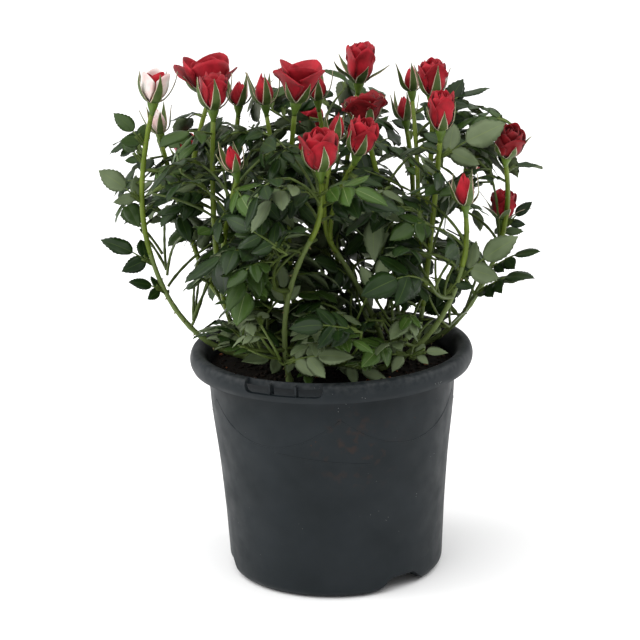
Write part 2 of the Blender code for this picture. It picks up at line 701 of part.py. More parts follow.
def try_leaf(stem, number, place, rng, taken):
    """One leaf's frames and size, in the first of a few attitudes in which it clears everything; or none."""
    root, _ = along_line(stem.points, place)
    top = number == 0 and stem.bloom
    joints = (0.0, *STALK_JOINTS[:2]) if top else (0.0, *STALK_JOINTS)
    bearing = stem.turn + LEAF_TURN * number
    for attempt in range(TRIES):
        size = (TOP_LEAF if top else 1.0) * (1 - SHRINK * attempt)
        swing = rng.uniform(-12, 12) * attempt
        rise, droop, lean = [math.radians(rng.uniform(*span)) for span in (LEAF_RISE, LEAF_DROOP, LEAF_LEAN)]
        frames = leaf_frames(root, math.radians(bearing + swing), rise, droop, lean, size, joints)
        if leaf_fits(frames, size, taken):
            taken.append(shape_of(leaf_mesh(frames, size)))
            return frames, size
    return None


def grow_crown(taken):
    """Deals shoots, then leaves, to all masses in turn, so that none crowds out the next."""
    rng = random.Random(SEED)
    stems = {mass.name: mass_stems(mass, taken) for mass in MASSES}
    for mass in MASSES:
        stems[mass.name] += blind_stems(mass, stems[mass.name], rng, taken)
    leaves = {mass.name: [] for mass in MASSES}
    shoots = [(name, stem, leaf_places(stem)) for name, group in stems.items() for stem in group]
    for number in range(max(len(places) for _, _, places in shoots)):
        for name, stem, places in shoots:
            if number < len(places):
                leaf = try_leaf(stem, number, places[number], rng, taken)
                if leaf:
                    leaves[name].append(leaf)
    return stems, leaves


def keep_largest(bm):
    """Drops loose scraps and the skins of sealed hollows: all but the piece that spans the most."""
    islands = []
    unseen = set(bm.verts)
    while unseen:
        front = [unseen.pop()]
        island = set(front)
        while front:
            vert = front.pop()
            for edge in vert.link_edges:
                other = edge.other_vert(vert)
                if other in unseen:
                    unseen.discard(other)
                    island.add(other)
                    front.append(other)
        islands.append(island)
    keep = max(islands, key=len)
    scraps = [vert for island in islands if island is not keep for vert in island]
    bmesh.ops.delete(bm, geom=scraps, context="VERTS")


def tidy_skin(bm):
    """Leaves one body of triangles, with no points that only divide a straight edge and no flat flaps."""
    idle = [vert for vert in bm.verts if len(vert.link_edges) == 2]
    bmesh.ops.dissolve_verts(bm, verts=idle)
    bmesh.ops.triangulate(bm, faces=bm.faces)
    sharing = {}
    for face in bm.faces:
        sharing.setdefault(frozenset(face.verts), []).append(face)
    flaps = [face for group in sharing.values() if len(group) > 1 for face in group]
    bmesh.ops.delete(bm, geom=flaps, context="FACES")
    keep_largest(bm)


def make_mass(mass, stems, leaves, parts):
    """Fuses a mass's shoots, blooms and leaves into one solid."""
    loose = new_collection(f"loose_{mass.name}")
    meshes = [stem_mesh(stem, 0.0) for stem in stems[1:]]
    meshes += [bloom_mesh(stem) for stem in stems if stem.bloom]
    meshes += [leaf_mesh(frames, size) for frames, size in leaves]
    for bm in meshes:
        mesh_object("loose", bm, loose)
    trunk = mesh_object(f"foliage_{mass.name}", stem_mesh(stems[0], 0.0), parts, "foliage")
    combine(trunk, "UNION", loose)
    bm = bmesh.new()
    bm.from_mesh(trunk.data)
    tidy_skin(bm)
    bm.to_mesh(trunk.data)
    bm.free()


def main():
    clear_scene()
    parts = new_collection("rose_bush_in_pot")
    solids = [make_pot(parts), make_soil(parts)]
    solids += [make_cane(cane, parts) for cane in CANES]
    taken = [object_shape(obj) for obj in solids]
    stems, leaves = grow_crown(taken)
    for mass in MASSES:
        make_mass(mass, stems[mass.name], leaves[mass.name], parts)


if __name__ == "__main__":
    main()
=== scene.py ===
"""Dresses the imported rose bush: canes, shoots, leaves and roses that grow by the model's own rule, carried
to finer twigs, over a moulded nursery pot of crumbly compost, in a pale studio.

Metres, +Z up, in the frame of the CAD. The front of the bush faces -Y.
"""

import functools
import math
import random
from collections import namedtuple

import bmesh
import bpy
import numpy as np
from mathutils import Matrix, Quaternion, Vector, noise
from mathutils.bvhtree import BVHTree


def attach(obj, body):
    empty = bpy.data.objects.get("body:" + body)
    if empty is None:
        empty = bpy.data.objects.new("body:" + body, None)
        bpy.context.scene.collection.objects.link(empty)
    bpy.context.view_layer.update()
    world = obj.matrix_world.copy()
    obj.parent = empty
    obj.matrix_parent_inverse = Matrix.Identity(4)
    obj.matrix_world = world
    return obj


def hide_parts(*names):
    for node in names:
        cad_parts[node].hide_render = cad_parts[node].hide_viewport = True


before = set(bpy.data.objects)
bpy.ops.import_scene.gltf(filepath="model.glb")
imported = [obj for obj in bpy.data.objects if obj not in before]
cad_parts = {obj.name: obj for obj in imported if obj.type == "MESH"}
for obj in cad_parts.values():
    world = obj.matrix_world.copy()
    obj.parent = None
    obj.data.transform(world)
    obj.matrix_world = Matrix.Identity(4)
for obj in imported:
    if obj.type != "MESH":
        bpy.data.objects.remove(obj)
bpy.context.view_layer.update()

UP = Vector((0, 0, 1))
SEED = 11

# ---- the pot, as in the model --------------------------------------------------------------------
POT_WALL = 0.0018
POT_FLOOR = 0.0020
LIP = (0.1084, 0.1878)
RIM_OUTSIDE = ((0.1128, 0.1866), (0.1150, 0.1813), (0.1148, 0.1763), (0.1130, 0.1723))
RIM_UNDERSIDE = ((0.1112, 0.1723), (0.1116, 0.1833), (0.1040, 0.1813))
BODY_SIDE = ((0.1006, 0.1738), (0.0987, 0.1390), (0.0938, 0.0956), (0.0902, 0.0516))
WALL_FLARE = ((0.1022, 0.1828), (0.1052, 0.1866))
HEEL_RADIUS = 0.0878
HEEL_ROUND = 0.0080
RING_INSIDE = 0.0765
CHANNEL_TOP = 0.0125
FOOT_RADIUS = 0.0500
ARCHES = 3
ARCH_ANGLE = math.radians(-52.4)
ARCH_HALF = math.radians(21.0)
ARCH_HEIGHT = 0.0124
ARCH_SWELL = 1.35  # flattens the top of a cosine
CUT_PAST = 0.006  # how far the cutters reach past the ring,
CUT_UNDER = 0.004  # and under it
GRIPS = 2
GRIP_ANGLE = math.radians(-110.4)
GRIP_HALF = math.radians(16.5)
GRIP_FLOOR = 0.1776
GRIP_INSIDE = 0.1088
GRIP_CORNER = 0.0050
RIB_WIDTH = 0.0012
RIB_SPAN = (0.1060, 0.1130)
RIB_UNDER = 0.0022  # the lip
POT_SIDES = 160
SCUFF_PLACE = (0.018, -0.099, 0.130)
SCUFF_REACH = (0.012, 0.046)
SWAGS = 5
SWAG_MIDDLE = -123.0
SWAG_LOW = 0.1286
SWAG_RISE = 0.0255
SCRATCH = ((-119, 0.1247), (-73, 0.1153))  # the bearing and height of its ends
MOULDING_RADIUS = 0.00036
MOULDING_SUNK = 0.00004
SWAG_SPAN = 178  # degrees; a little less than half the way round, shared by all the swags' halves

# ---- the compost ---------------------------------------------------------------------------------
SOIL_TOP = 0.1758
SOIL_RADIUS = 0.0985
SOIL_DEPTH = 0.012
SOIL_RELIEF = 0.0022
CRUMBS = 900
LIP_CRUMBS = 90
CHIPS = (((0.0315, -0.066), 0.0046), ((0.062, -0.073), 0.0026), ((0.048, -0.084), 0.0022))  # of bark
CRUMB_SIZES = (0.0006, 0.0019)
LIP_CRUMB_SIZES = (0.0005, 0.0012)
LIP_BAND = (0.1035, 0.1078)
HEAP_SPREAD = 4.5  # degrees
BARK_SHARE = 0.03
BED_RINGS = 56
BED_SIDES = 150
LIP_HEAPS = (-131.0, -124.0, -57.0, 40.0, 150.0)  # bearings at which some peat lies on the lip

# ---- canes ---------------------------------------------------------------------------------------
CANE_FOOT_RADIUS = 0.0023
CANE_TIP_RADIUS = 0.0019
CANE_STEPS = 44
TEST_STEPS = 24  # of a cane's line where only its place matters
ROOT_DEPTH = 0.006  # of a cane's end in the compost
CANE_SIDES = 12
BARK_RELIEF = 0.00022
FOOT_SWELL = 0.0012
FOOT_SWELL_LENGTH = 0.004
RING_SPACING = 0.021  # between the scars of old leaves
RING_RELIEF = 0.00035
Cane = namedtuple("Cane", "name foot guide tip")
CANES = (
    Cane("left", (-0.068, 0.006), (-0.126, 0.000, 0.191), (-0.144, 0.000, 0.269)),
    Cane("left_back", (-0.058, 0.036), (-0.076, 0.044, 0.198), (-0.092, 0.048, 0.218)),
    Cane("centre_left", (-0.066, 0.018), (-0.080, 0.004, 0.198), (-0.084, -0.008, 0.222)),
    Cane("front_left", (-0.034, -0.057), (-0.045, -0.055, 0.239), (-0.013, -0.078, 0.296)),
    Cane("centre_front", (0.045, 0.013), (0.031, -0.006, 0.228), (0.005, -0.020, 0.271)),
    Cane("centre", (0.058, 0.028), (0.056, 0.024, 0.198), (0.055, 0.021, 0.218)),
    Cane("right_front", (0.040, -0.034), (0.090, -0.040, 0.199), (0.105, -0.051, 0.265)),
    Cane("right_middle", (0.066, -0.008), (0.072, -0.008, 0.200), (0.075, -0.009, 0.222)),
    Cane("right_back", (0.050, 0.050), (0.060, 0.047, 0.196), (0.066, 0.045, 0.216)),
    Cane("right", (0.074, 0.030), (0.110, 0.028, 0.187), (0.135, 0.030, 0.246)),
    Cane("centre_middle", (-0.022, 0.015), (-0.027, 0.012, 0.196), (-0.029, 0.010, 0.216)),
    Cane("back_middle", (0.004, 0.060), (0.005, 0.068, 0.196), (0.006, 0.074, 0.216)),
    Cane("back_left", (-0.042, 0.062), (-0.053, 0.078, 0.196), (-0.062, 0.088, 0.216)),
    Cane("back_right", (0.040, 0.072), (0.050, 0.088, 0.195), (0.059, 0.095, 0.214)),
    Cane("back", (-0.002, 0.078), (-0.004, 0.094, 0.208), (-0.006, 0.116, 0.226)),
)

# ---- blooms: how each kind is made ---------------------------------------------------------------
# A layer's radii are shares of the bloom's width at four heights, and its height a share of the bloom's.
Layer = namedtuple("Layer", "count radii height spread roll drop")
KINDS = {
    "bud": (
        Layer(3, (0.40, 0.80, 0.62, 0.08), 1.00, 1.45, 0.00, 0.34),
        Layer(3, (0.46, 0.92, 0.80, 0.36), 0.92, 1.15, 0.00, 0.30),
    ),
    "cup": (
        Layer(3, (0.22, 0.50, 0.46, 0.12), 1.00, 1.60, 0.00, 0.22),
        Layer(4, (0.26, 0.64, 0.64, 0.50), 1.04, 1.15, 0.03, 0.22),
        Layer(4, (0.32, 0.78, 0.80, 0.76), 1.02, 1.00, 0.12, 0.30),
        Layer(4, (0.38, 0.88, 0.90, 0.90), 0.95, 0.95, 0.26, 0.34),
    ),
    "wide": (
        Layer(3, (0.12, 0.34, 0.32, 0.08), 0.96, 1.60, 0.00, 0.18),
        Layer(4, (0.14, 0.46, 0.48, 0.34), 1.00, 1.20, 0.02, 0.18),
        Layer(5, (0.17, 0.60, 0.70, 0.66), 1.02, 0.95, 0.08, 0.20),
        Layer(5, (0.20, 0.70, 0.88, 0.98), 0.98, 0.90, 0.20, 0.22),
        Layer(5, (0.24, 0.78, 0.98, 1.20), 0.86, 0.84, 0.26, 0.30),
    ),
    "dome": (
        Layer(3, (0.14, 0.40, 0.40, 0.20), 0.86, 1.50, 0.00, 0.18),
        Layer(4, (0.18, 0.54, 0.62, 0.56), 0.98, 1.05, 0.02, 0.20),
        Layer(3, (0.24, 0.66, 0.90, 0.92), 1.02, 1.30, 0.05, 0.32),
        Layer(2, (0.26, 0.72, 1.00, 1.22), 0.74, 1.00, 0.24, 0.30),
    ),
    "open": (
        Layer(3, (0.14, 0.40, 0.40, 0.20), 0.86, 1.50, 0.00, 0.18),
        Layer(4, (0.18, 0.54, 0.62, 0.64), 0.94, 1.05, 0.04, 0.20),
        Layer(3, (0.22, 0.64, 0.86, 1.08), 1.02, 1.22, 0.14, 0.14),
        Layer(3, (0.24, 0.70, 0.96, 1.20), 0.92, 1.15, 0.26, 0.24),
    ),
    "spent": (
        Layer(3, (0.22, 0.74, 0.84, 0.70), 0.96, 1.20, 0.00, 0.20),
        Layer(3, (0.28, 0.90, 1.00, 0.98), 1.00, 0.98, 0.06, 0.24),
    ),
}
# Width is a bloom's greatest radius; sepals are its sepals' length and their angles from its axis, past the
# bloom's foot and at their tips; lean tips the bloom over from its shoot's line, towards a bearing.
Bloom = namedtuple("Bloom", "kind width height sepals colour lean spin", defaults=("red", None, 0))

# ---- masses: shoots that grow on from a cane's tip, or from its side at a share of its length ----
Shoot = namedtuple("Shoot", "tip bloom turn")
Mass = namedtuple("Mass", "name cane along shoots blind")
TIP = 1.0


def flowerless(name, cane, along, blind, *shoots):
    """A mass without blooms. Each of its shoots is given by its tip and its turn."""
    return Mass(name, cane, along, tuple(Shoot((x, y, z), None, turn) for x, y, z, turn in shoots), blind)


MASSES = (
    Mass("left", "left", TIP,
         (Shoot((-0.137, 0.000, 0.383), Bloom("spent", 0.0112, 0.0230, (0.031, 30, 0), "pale"), 200),), 2),
    Mass("left_back", "left_back", TIP,
         (Shoot((-0.096, 0.070, 0.375),
                Bloom("dome", 0.0200, 0.0290, (0.022, 40, 30), "red", (10, 190), 150), 120),
          Shoot((-0.134, 0.050, 0.348), Bloom("bud", 0.0062, 0.0190, (0.025, 12, 8), "pale"), 190)), 1),
    Mass("centre_left", "centre_left", TIP,
         (Shoot((-0.088, -0.020, 0.380), Bloom("cup", 0.0112, 0.0260, (0.031, 8, 0)), 230),
          Shoot((-0.069, -0.080, 0.345),
                Bloom("bud", 0.0062, 0.0190, (0.024, 8, -4), "red", (16, 180)), 250)), 1),
    Mass("front_left", "front_left", TIP,
         (Shoot((-0.005, -0.090, 0.345), Bloom("cup", 0.0146, 0.0290, (0.027, 16, 6)), 200),), 2),
    Mass("centre_front", "centre_front", TIP,
         (Shoot((0.006, 0.000, 0.348), Bloom("bud", 0.0070, 0.0200, (0.026, 10, 0)), 100),
          Shoot((0.022, -0.050, 0.349), Bloom("cup", 0.0114, 0.0270, (0.024, 8, 0)), 300)), 1),
    Mass("centre", "centre", TIP,
         (Shoot((0.034, 0.030, 0.353), Bloom("wide", 0.0142, 0.0250, (0.026, 10, 0), "deep"), 60),), 2),
    Mass("right_front", "right_front", TIP,
         (Shoot((0.107, -0.060, 0.308), Bloom("bud", 0.0078, 0.0230, (0.028, 8, 0)), 320),), 2),
    Mass("right_middle", "right_middle", TIP,
         (Shoot((0.0895, -0.030, 0.3615), Bloom("cup", 0.0100, 0.0280, (0.023, 12, -4)), 280),), 2),
    Mass("right_back", "right_back", TIP,
         (Shoot((0.087, 0.040, 0.375), Bloom("cup", 0.0118, 0.0260, (0.028, 12, 14)), 20),
          Shoot((0.073, 0.090, 0.369), Bloom("bud", 0.0062, 0.0190, (0.026, 10, 6)), 80)), 1),
    Mass("right", "right", TIP,
         (Shoot((0.142, -0.010, 0.336),
                Bloom("cup", 0.0120, 0.0240, (0.022, 20, 24), "deep", (12, 340)), 340),
          Shoot((0.140, 0.030, 0.273),
                Bloom("cup", 0.0100, 0.0210, (0.025, 50, 64), "red", (10, 350)), 10),
          Shoot((0.130, 0.012, 0.330), None, 170)), 1),
    Mass("centre_middle", "centre_middle", TIP,
         (Shoot((-0.024, -0.010, 0.382),
                Bloom("open", 0.0150, 0.0290, (0.023, 24, 10), "red", (6, 20), 20), 200),
          Shoot((-0.047, 0.020, 0.375), Bloom("bud", 0.0078, 0.0220, (0.031, 8, 2)), 150)), 1),
    Mass("back_middle", "back_middle", TIP,
         (Shoot((0.028, 0.085, 0.379), Bloom("cup", 0.0116, 0.0300, (0.030, 58, 34)), 60),
          Shoot((-0.005, 0.060, 0.371), Bloom("bud", 0.0084, 0.0200, (0.026, 14, 8)), 130)), 1),
    Mass("back_left", "back_left", TIP,
         (Shoot((-0.072, 0.100, 0.360), Bloom("bud", 0.0080, 0.0190, (0.030, 12, 24)), 110),
          Shoot((-0.110, 0.116, 0.305), Bloom("cup", 0.0112, 0.0250, (0.026, 12, 14)), 160)), 2),
    Mass("back_right", "back_right", TIP,
         (Shoot((0.069, 0.120, 0.339), Bloom("bud", 0.0072, 0.0200, (0.026, 8, 0)), 80),
          Shoot((0.118, 0.110, 0.298), Bloom("cup", 0.0116, 0.0250, (0.027, 30, 20)), 30)), 2),
    Mass("back", "back", TIP,
         (Shoot((-0.012, 0.150, 0.318), Bloom("cup", 0.0116, 0.0260, (0.026, 14, 10)), 90),), 2),
    flowerless("low_left", "left", 0.45, 0, (-0.112, -0.042, 0.232, 200)),
    flowerless("low_left_back", "left", 0.70, 0, (-0.138, 0.048, 0.258, 160)),
    flowerless("low_front_left", "front_left", 0.20, 1,
               (-0.070, -0.070, 0.208, 200), (-0.036, -0.088, 0.196, 300)),
    flowerless("low_front", "front_left", 0.10, 2,
               (0.004, -0.074, 0.203, 350), (0.034, -0.092, 0.195, 20), (0.016, -0.060, 0.214, 120)),
    flowerless("middle_front", "front_left", 0.60, 1, (-0.052, -0.085, 0.272, 190)),
    flowerless("low_front_right", "right_front", 0.30, 2,
               (0.056, -0.078, 0.212, 350), (0.084, -0.062, 0.200, 40), (0.062, -0.094, 0.196, 280)),
    flowerless("middle_right", "right_front", 0.75, 1, (0.078, -0.084, 0.258, 240)),
    flowerless("low_middle", "centre_front", 0.35, 2,
               (0.060, -0.018, 0.236, 260), (0.022, -0.052, 0.200, 300), (0.046, -0.070, 0.206, 240)),
    flowerless("low_right", "right", 0.50, 1, (0.120, -0.010, 0.232, 330), (0.090, -0.034, 0.205, 300)),
    flowerless("low_back", "back_middle", 0.40, 1, (0.030, 0.112, 0.220, 60)),
    flowerless("low_back_left", "back_left", 0.40, 1, (-0.088, 0.064, 0.222, 160)),
)
SHOOT_FOOT_RADIUS = 0.0021
SIDE_SHOOT_RADIUS = 0.0019
SHOOT_TIP_RADIUS = 0.0019
TWIG_TIP_RADIUS = 0.0009
TWIG_RADII = (0.0012, 0.0007)
# How far apart thorns are on average, and how long, on canes, on shoots and close under a bloom.
CANE_THORNS = (0.0075, (0.0014, 0.0026))
SHOOT_THORNS = (0.0055, (0.0007, 0.0018))
NECK_THORNS = (0.0011, (0.0005, 0.0010))
NECK_STEPS = 6
SHOOT_STEPS = 18
SHOOT_SIDES = 8
SHOOT_SPRING = 0.42
TIP_OVERLAP = 0.002  # of a shoot and the cane that it goes on from
SIDE_LEAD = 0.004  # straight out of a cane's side before a shoot bends
FORK_AT = 0.12
BLIND_LENGTH = (0.040, 0.078)
BLIND_RISE = (25, 62)
BLIND_FIRST = 70  # degrees round from a shoot's own turn
BLIND_TURN = 200
BLIND_SPAN = (0.15, 0.74)  # where on a shoot they start
TOP_TWIGS = 10  # short leafy shoots under each flower
TOP_TWIG_LENGTH = (0.024, 0.056)
TOP_TWIG_SPAN = (0.55, 0.94)
TWIG_TEST_RADIUS = 0.002
FINE_TWIGS = 19  # more flowerless side shoots for each mass than in the model
CANE_TWIGS = 19
# Low twigs over the compost, at the front and then in the middle and behind: how many, their tips' radii,
# bearings and heights, the step of a cane that their tips are nearest to, and where on it they start.
LOW_TWIGS = (
    (22, (0.062, 0.096), (185, 355), (0.181, 0.202), 0, (0.03, 0.24)),
    (60, (0.020, 0.105), (-10, 190), (0.198, 0.262), 4, (0.08, 0.36)),
)
CANE_TWIG_LENGTH = (0.025, 0.050)
CANE_TWIG_SPAN = (0.12, 0.95)
CANE_TWIG_RISE = (0, 45)

# ---- the crown's space ---------------------------------------------------------------------------
CROWN_MIDDLE = (-0.003, 0.015)
CROWN_REACH = (0.184, 0.176)
CROWN_TOP = 0.398  # of leaves; the blooms stand higher
CROWN_FALL = 0.60  # how steeply that falls away past the next radius
SHOULDER = 0.100
TWIG_END = 8  # points of a twig's end that stay out of the gaps
TWIG_ROOM = 0.007  # beyond a twig's end, for a leaf
RIM_CLEAR = 0.1893
FLARE_RADIUS = 0.113  # the crown widens upwards from this at the rim
FLARE_SLOPE = 0.85
LIP_CLEAR = 0.104  # lower than the lip, a leaf stays inside this radius
LEAF_CLEAR = 0.0004
WALL_SIDES = 48  # of the pot's wall, where leaves and twigs are tested against it

# ---- the camera, fitted to the pot in the photo --------------------------------------------------
# The places of leaves and gaps that were picked in the photo are turned into metres through it.
CAMERA_DISTANCE = 2.0
CAMERA_RISE = math.radians(16.0)
CAMERA_ROLL = math.radians(-1.55)
CAMERA_TARGET = Vector((-0.0085, 0.0, 0.2078))
EYE = CAMERA_TARGET + Vector((0.0, -math.cos(CAMERA_RISE), math.sin(CAMERA_RISE))) * CAMERA_DISTANCE
SENSOR = 36.0
PICTURE = 640.0
FOCAL_PIXELS = 2463.0
PIXEL = 0.00081  # metres that a pixel spans at the pot


def camera_axes():
    """The camera's directions to the right, up, and back from what it looks at."""
    back = Vector((0, -math.cos(CAMERA_RISE), math.sin(CAMERA_RISE)))
    right = Vector((1, 0, 0))
    upward = right.cross(-back)
    roll_right = right * math.cos(CAMERA_ROLL) + upward * math.sin(CAMERA_ROLL)
    roll_up = upward * math.cos(CAMERA_ROLL) - right * math.sin(CAMERA_ROLL)
    return roll_right, roll_up, back


def picked(across, down, depth):
    """The place at a depth, to the millimetre, that is seen at a pixel picked in the photo."""
    right, up, back = camera_axes()
    sight = right * (across - PICTURE / 2) + up * (PICTURE / 2 - down) - back * FOCAL_PIXELS
    spot = EYE + sight * ((depth - EYE.y) / sight.y)
    return round(spot.x, 3), depth, round(spot.z, 3)


# ---- leaves --------------------------------------------------------------------------------------
LEAF_SPACING = 0.0120
LOW_SPACING = 0.6  # of that, low down at the front
LEAF_TURN = 137.5
BARE_NECK = 0.012
BLIND_NECK = 0.004
BARE_FOOT = 0.010
# Degrees of a leaf's rise, its droop, and its lean and roll.
LEAF_SPANS = ((-6, 48), (2, 32), (10, 68), (-30, 30))
LOW_SPANS = ((-8, 34), (2, 18), (0, 60), (-25, 25))
INNER_SPANS = ((-8, 46), (2, 34), (38, 80), (-50, 50))
LEAFLET_LENGTH = 0.029
LEAFLET_WIDTH = 0.65  # of its length
FIRST_LEAFLETS = 0.80
END_LEAFLET = 1.08
LEAFLET_DROOP = 0.20
LEAFLET_SPLAY = math.radians(58)
STALK_JOINTS = (0.55, 1.02, 1.42)
STALK_RADII = (0.0010, 0.0006)
STIPULE = ((0.0015, 0.0006), (0.005, 0.0022), (0.009, 0.0024), (0.0125, 0.0034))  # along a stalk, and aside
STIPULE_RISE = 0.0008
STIPULE_THICK = 0.0003
TOP_LEAF = 0.95
LEAF_SIZES = (0.94, 1.16)
LOW_SIZES = (0.66, 1.00)
INNER_SIZES = (0.95, 1.20)
# Leaves that show at the crown's edge, on its front and over the compost: near where the stalk starts, the
# tip, the size of the leaflets, how far they face the front, and their tint.
SetLeaf = namedtuple("SetLeaf", "root tip size lean tint")
SET_LEAVES = (
    SetLeaf(picked(452, 166, -0.040), picked(508, 121, -0.030), 1.15, 60, "grey"),
    SetLeaf(picked(440, 140, 0.045), picked(463, 76, 0.050), 0.95, 60, "deep"),
    SetLeaf(picked(503, 236, 0.015), picked(547, 207, 0.010), 0.75, 60, "deep"),
    SetLeaf(picked(462, 287, -0.060), picked(514, 236, -0.070), 1.05, 60, "grey"),
    SetLeaf((0.090, -0.060, 0.230), (0.130, -0.040, 0.262), 0.75, 50, "deep"),
    SetLeaf(picked(150, 152, 0.000), picked(116, 110, 0.000), 0.85, 60, "mid"),
    SetLeaf((-0.142, 0.000, 0.338), (-0.163, 0.012, 0.361), 0.80, 60, "mid"),
    SetLeaf(picked(152, 202, -0.005), picked(95, 167, -0.010), 1.00, 60, "grey"),
    SetLeaf(picked(152, 270, -0.005), picked(99, 238, -0.005), 0.95, 50, "deep"),
    SetLeaf(picked(165, 300, -0.005), picked(126, 262, -0.020), 0.85, 50, "deep"),
    SetLeaf(picked(287, 362, -0.057), picked(245, 352, -0.080), 0.80, 40, "grey"),
    SetLeaf(picked(287, 355, -0.057), picked(318, 372, -0.095), 0.75, 40, "grey"),
    SetLeaf(picked(287, 350, -0.057), picked(343, 364, -0.080), 0.90, 30, "grey"),
    SetLeaf(picked(345, 366, -0.075), picked(391, 374, -0.095), 0.80, 30, "grey"),
    SetLeaf(picked(400, 355, -0.070), picked(362, 355, -0.085), 0.75, 40, "grey"),
    SetLeaf(picked(410, 372, -0.075), picked(450, 350, -0.080), 0.75, 50, "grey"),
    SetLeaf(picked(327, 350, -0.070), picked(322, 308, -0.075), 0.85, 60, "grey"),
    SetLeaf(picked(287, 300, -0.050), picked(265, 262, -0.080), 1.05, 70, "grey"),
    SetLeaf(picked(366, 300, -0.060), picked(395, 256, -0.085), 0.80, 70, "grey"),
    SetLeaf(picked(245, 230, -0.050), picked(240, 200, -0.085), 0.90, 70, "deep"),
)
# Gaps through which the sky shows from the front, as picked in the photo: pixels across and down,
# and a radius in pixels.
GAP_MARGIN = 0.001
SKY_GAPS = (
    (154, 233, 6), (156, 253, 6), (181, 258, 10), (212, 204, 9), (190, 304, 9), (209, 314, 6), (457, 221, 11),
    (443, 269, 6), (463, 308, 8), (451, 164, 5), (396, 163, 5), (412, 180, 6), (413, 141, 5), (484, 198, 5),
)
UNTESTED = 0.003  # of a leaflet, at its root
TEST_OUTLINE = ((0.0, 0.0), (0.25, 0.85), (0.62, 0.9), (1.0, 0.0), (0.62, -0.9), (0.25, -0.85))
SET_STALK = 0.47  # from the pair of leaflets of such a leaf to the one at its end, in leaflet lengths
SET_RISE = math.radians(6)
SET_DROOP = math.radians(6)
# Canes, necks and blooms that leaves and twigs leave clear towards the front.
SHOWN_CANES = ("left", "front_left", "centre_front", "right_front", "right")
SHOWN_STEPS = 3  # of a shoot under its bloom
SHOWN_SIDE = 0.7  # of a bloom's width
SHOWN_REACH = 0.12
SHOWN_BACK = 0.105
SHOWN_HIGH = 0.33
VIEW_SIDE = Vector((0.0, -0.96, 0.28))
TRIES = 30
SHRINK = 0.013
TEETH = 7  # along each side of a leaflet
BLADE_COLUMNS = (-1.0, -0.52, -0.032, 0.032, 0.52, 1.0)  # across a leaflet, the midrib between the middle two
BLADE_THICK = 0.00034
TINTS = ("deep", "shade", "mid", "fresh", "grey")
PALE_TINTS = ("fresh", "grey")
TINT_SHARES = (0.26, 0.27, 0.25, 0.08, 0.14)
LOW_TINT_SHARES = (0.18, 0.16, 0.20, 0.12, 0.34)
# Tint shares inside the crown, nearly all the darkest greens: painted shade of the crown's inside.
INNER_SHADE_TINT_SHARES = (0.46, 0.42, 0.10, 0.00, 0.02)
INNER = 0.095  # nearer than this to the crown's middle the leaves are dark, as painted shade of the crown's inside
LOW_LEAVES = 0.235  # under this height, and forward of the next, the leaves are smaller and greyer
LOW_FRONT = -0.020

# ---- the studio ----------------------------------------------------------------------------------
FLOOR_REACH = 40
FLOOR_HEIGHT = -0.0004
PAPER = (0.93, 0.93, 0.93)
WORLD_LIGHT = 0.55
OVERHEAD_LIGHT = 2.7
OVERHEAD_FROM = (-0.22, -0.25, 1.0)
LIGHTS_AIM = (0, 0, 0.22)
SIDE_LIGHTS = (("left_light", (-2.0, 0.0, 1.4), 1.6, 21), ("right_light", (2.0, 0.3, 1.3), 1.4, 18))

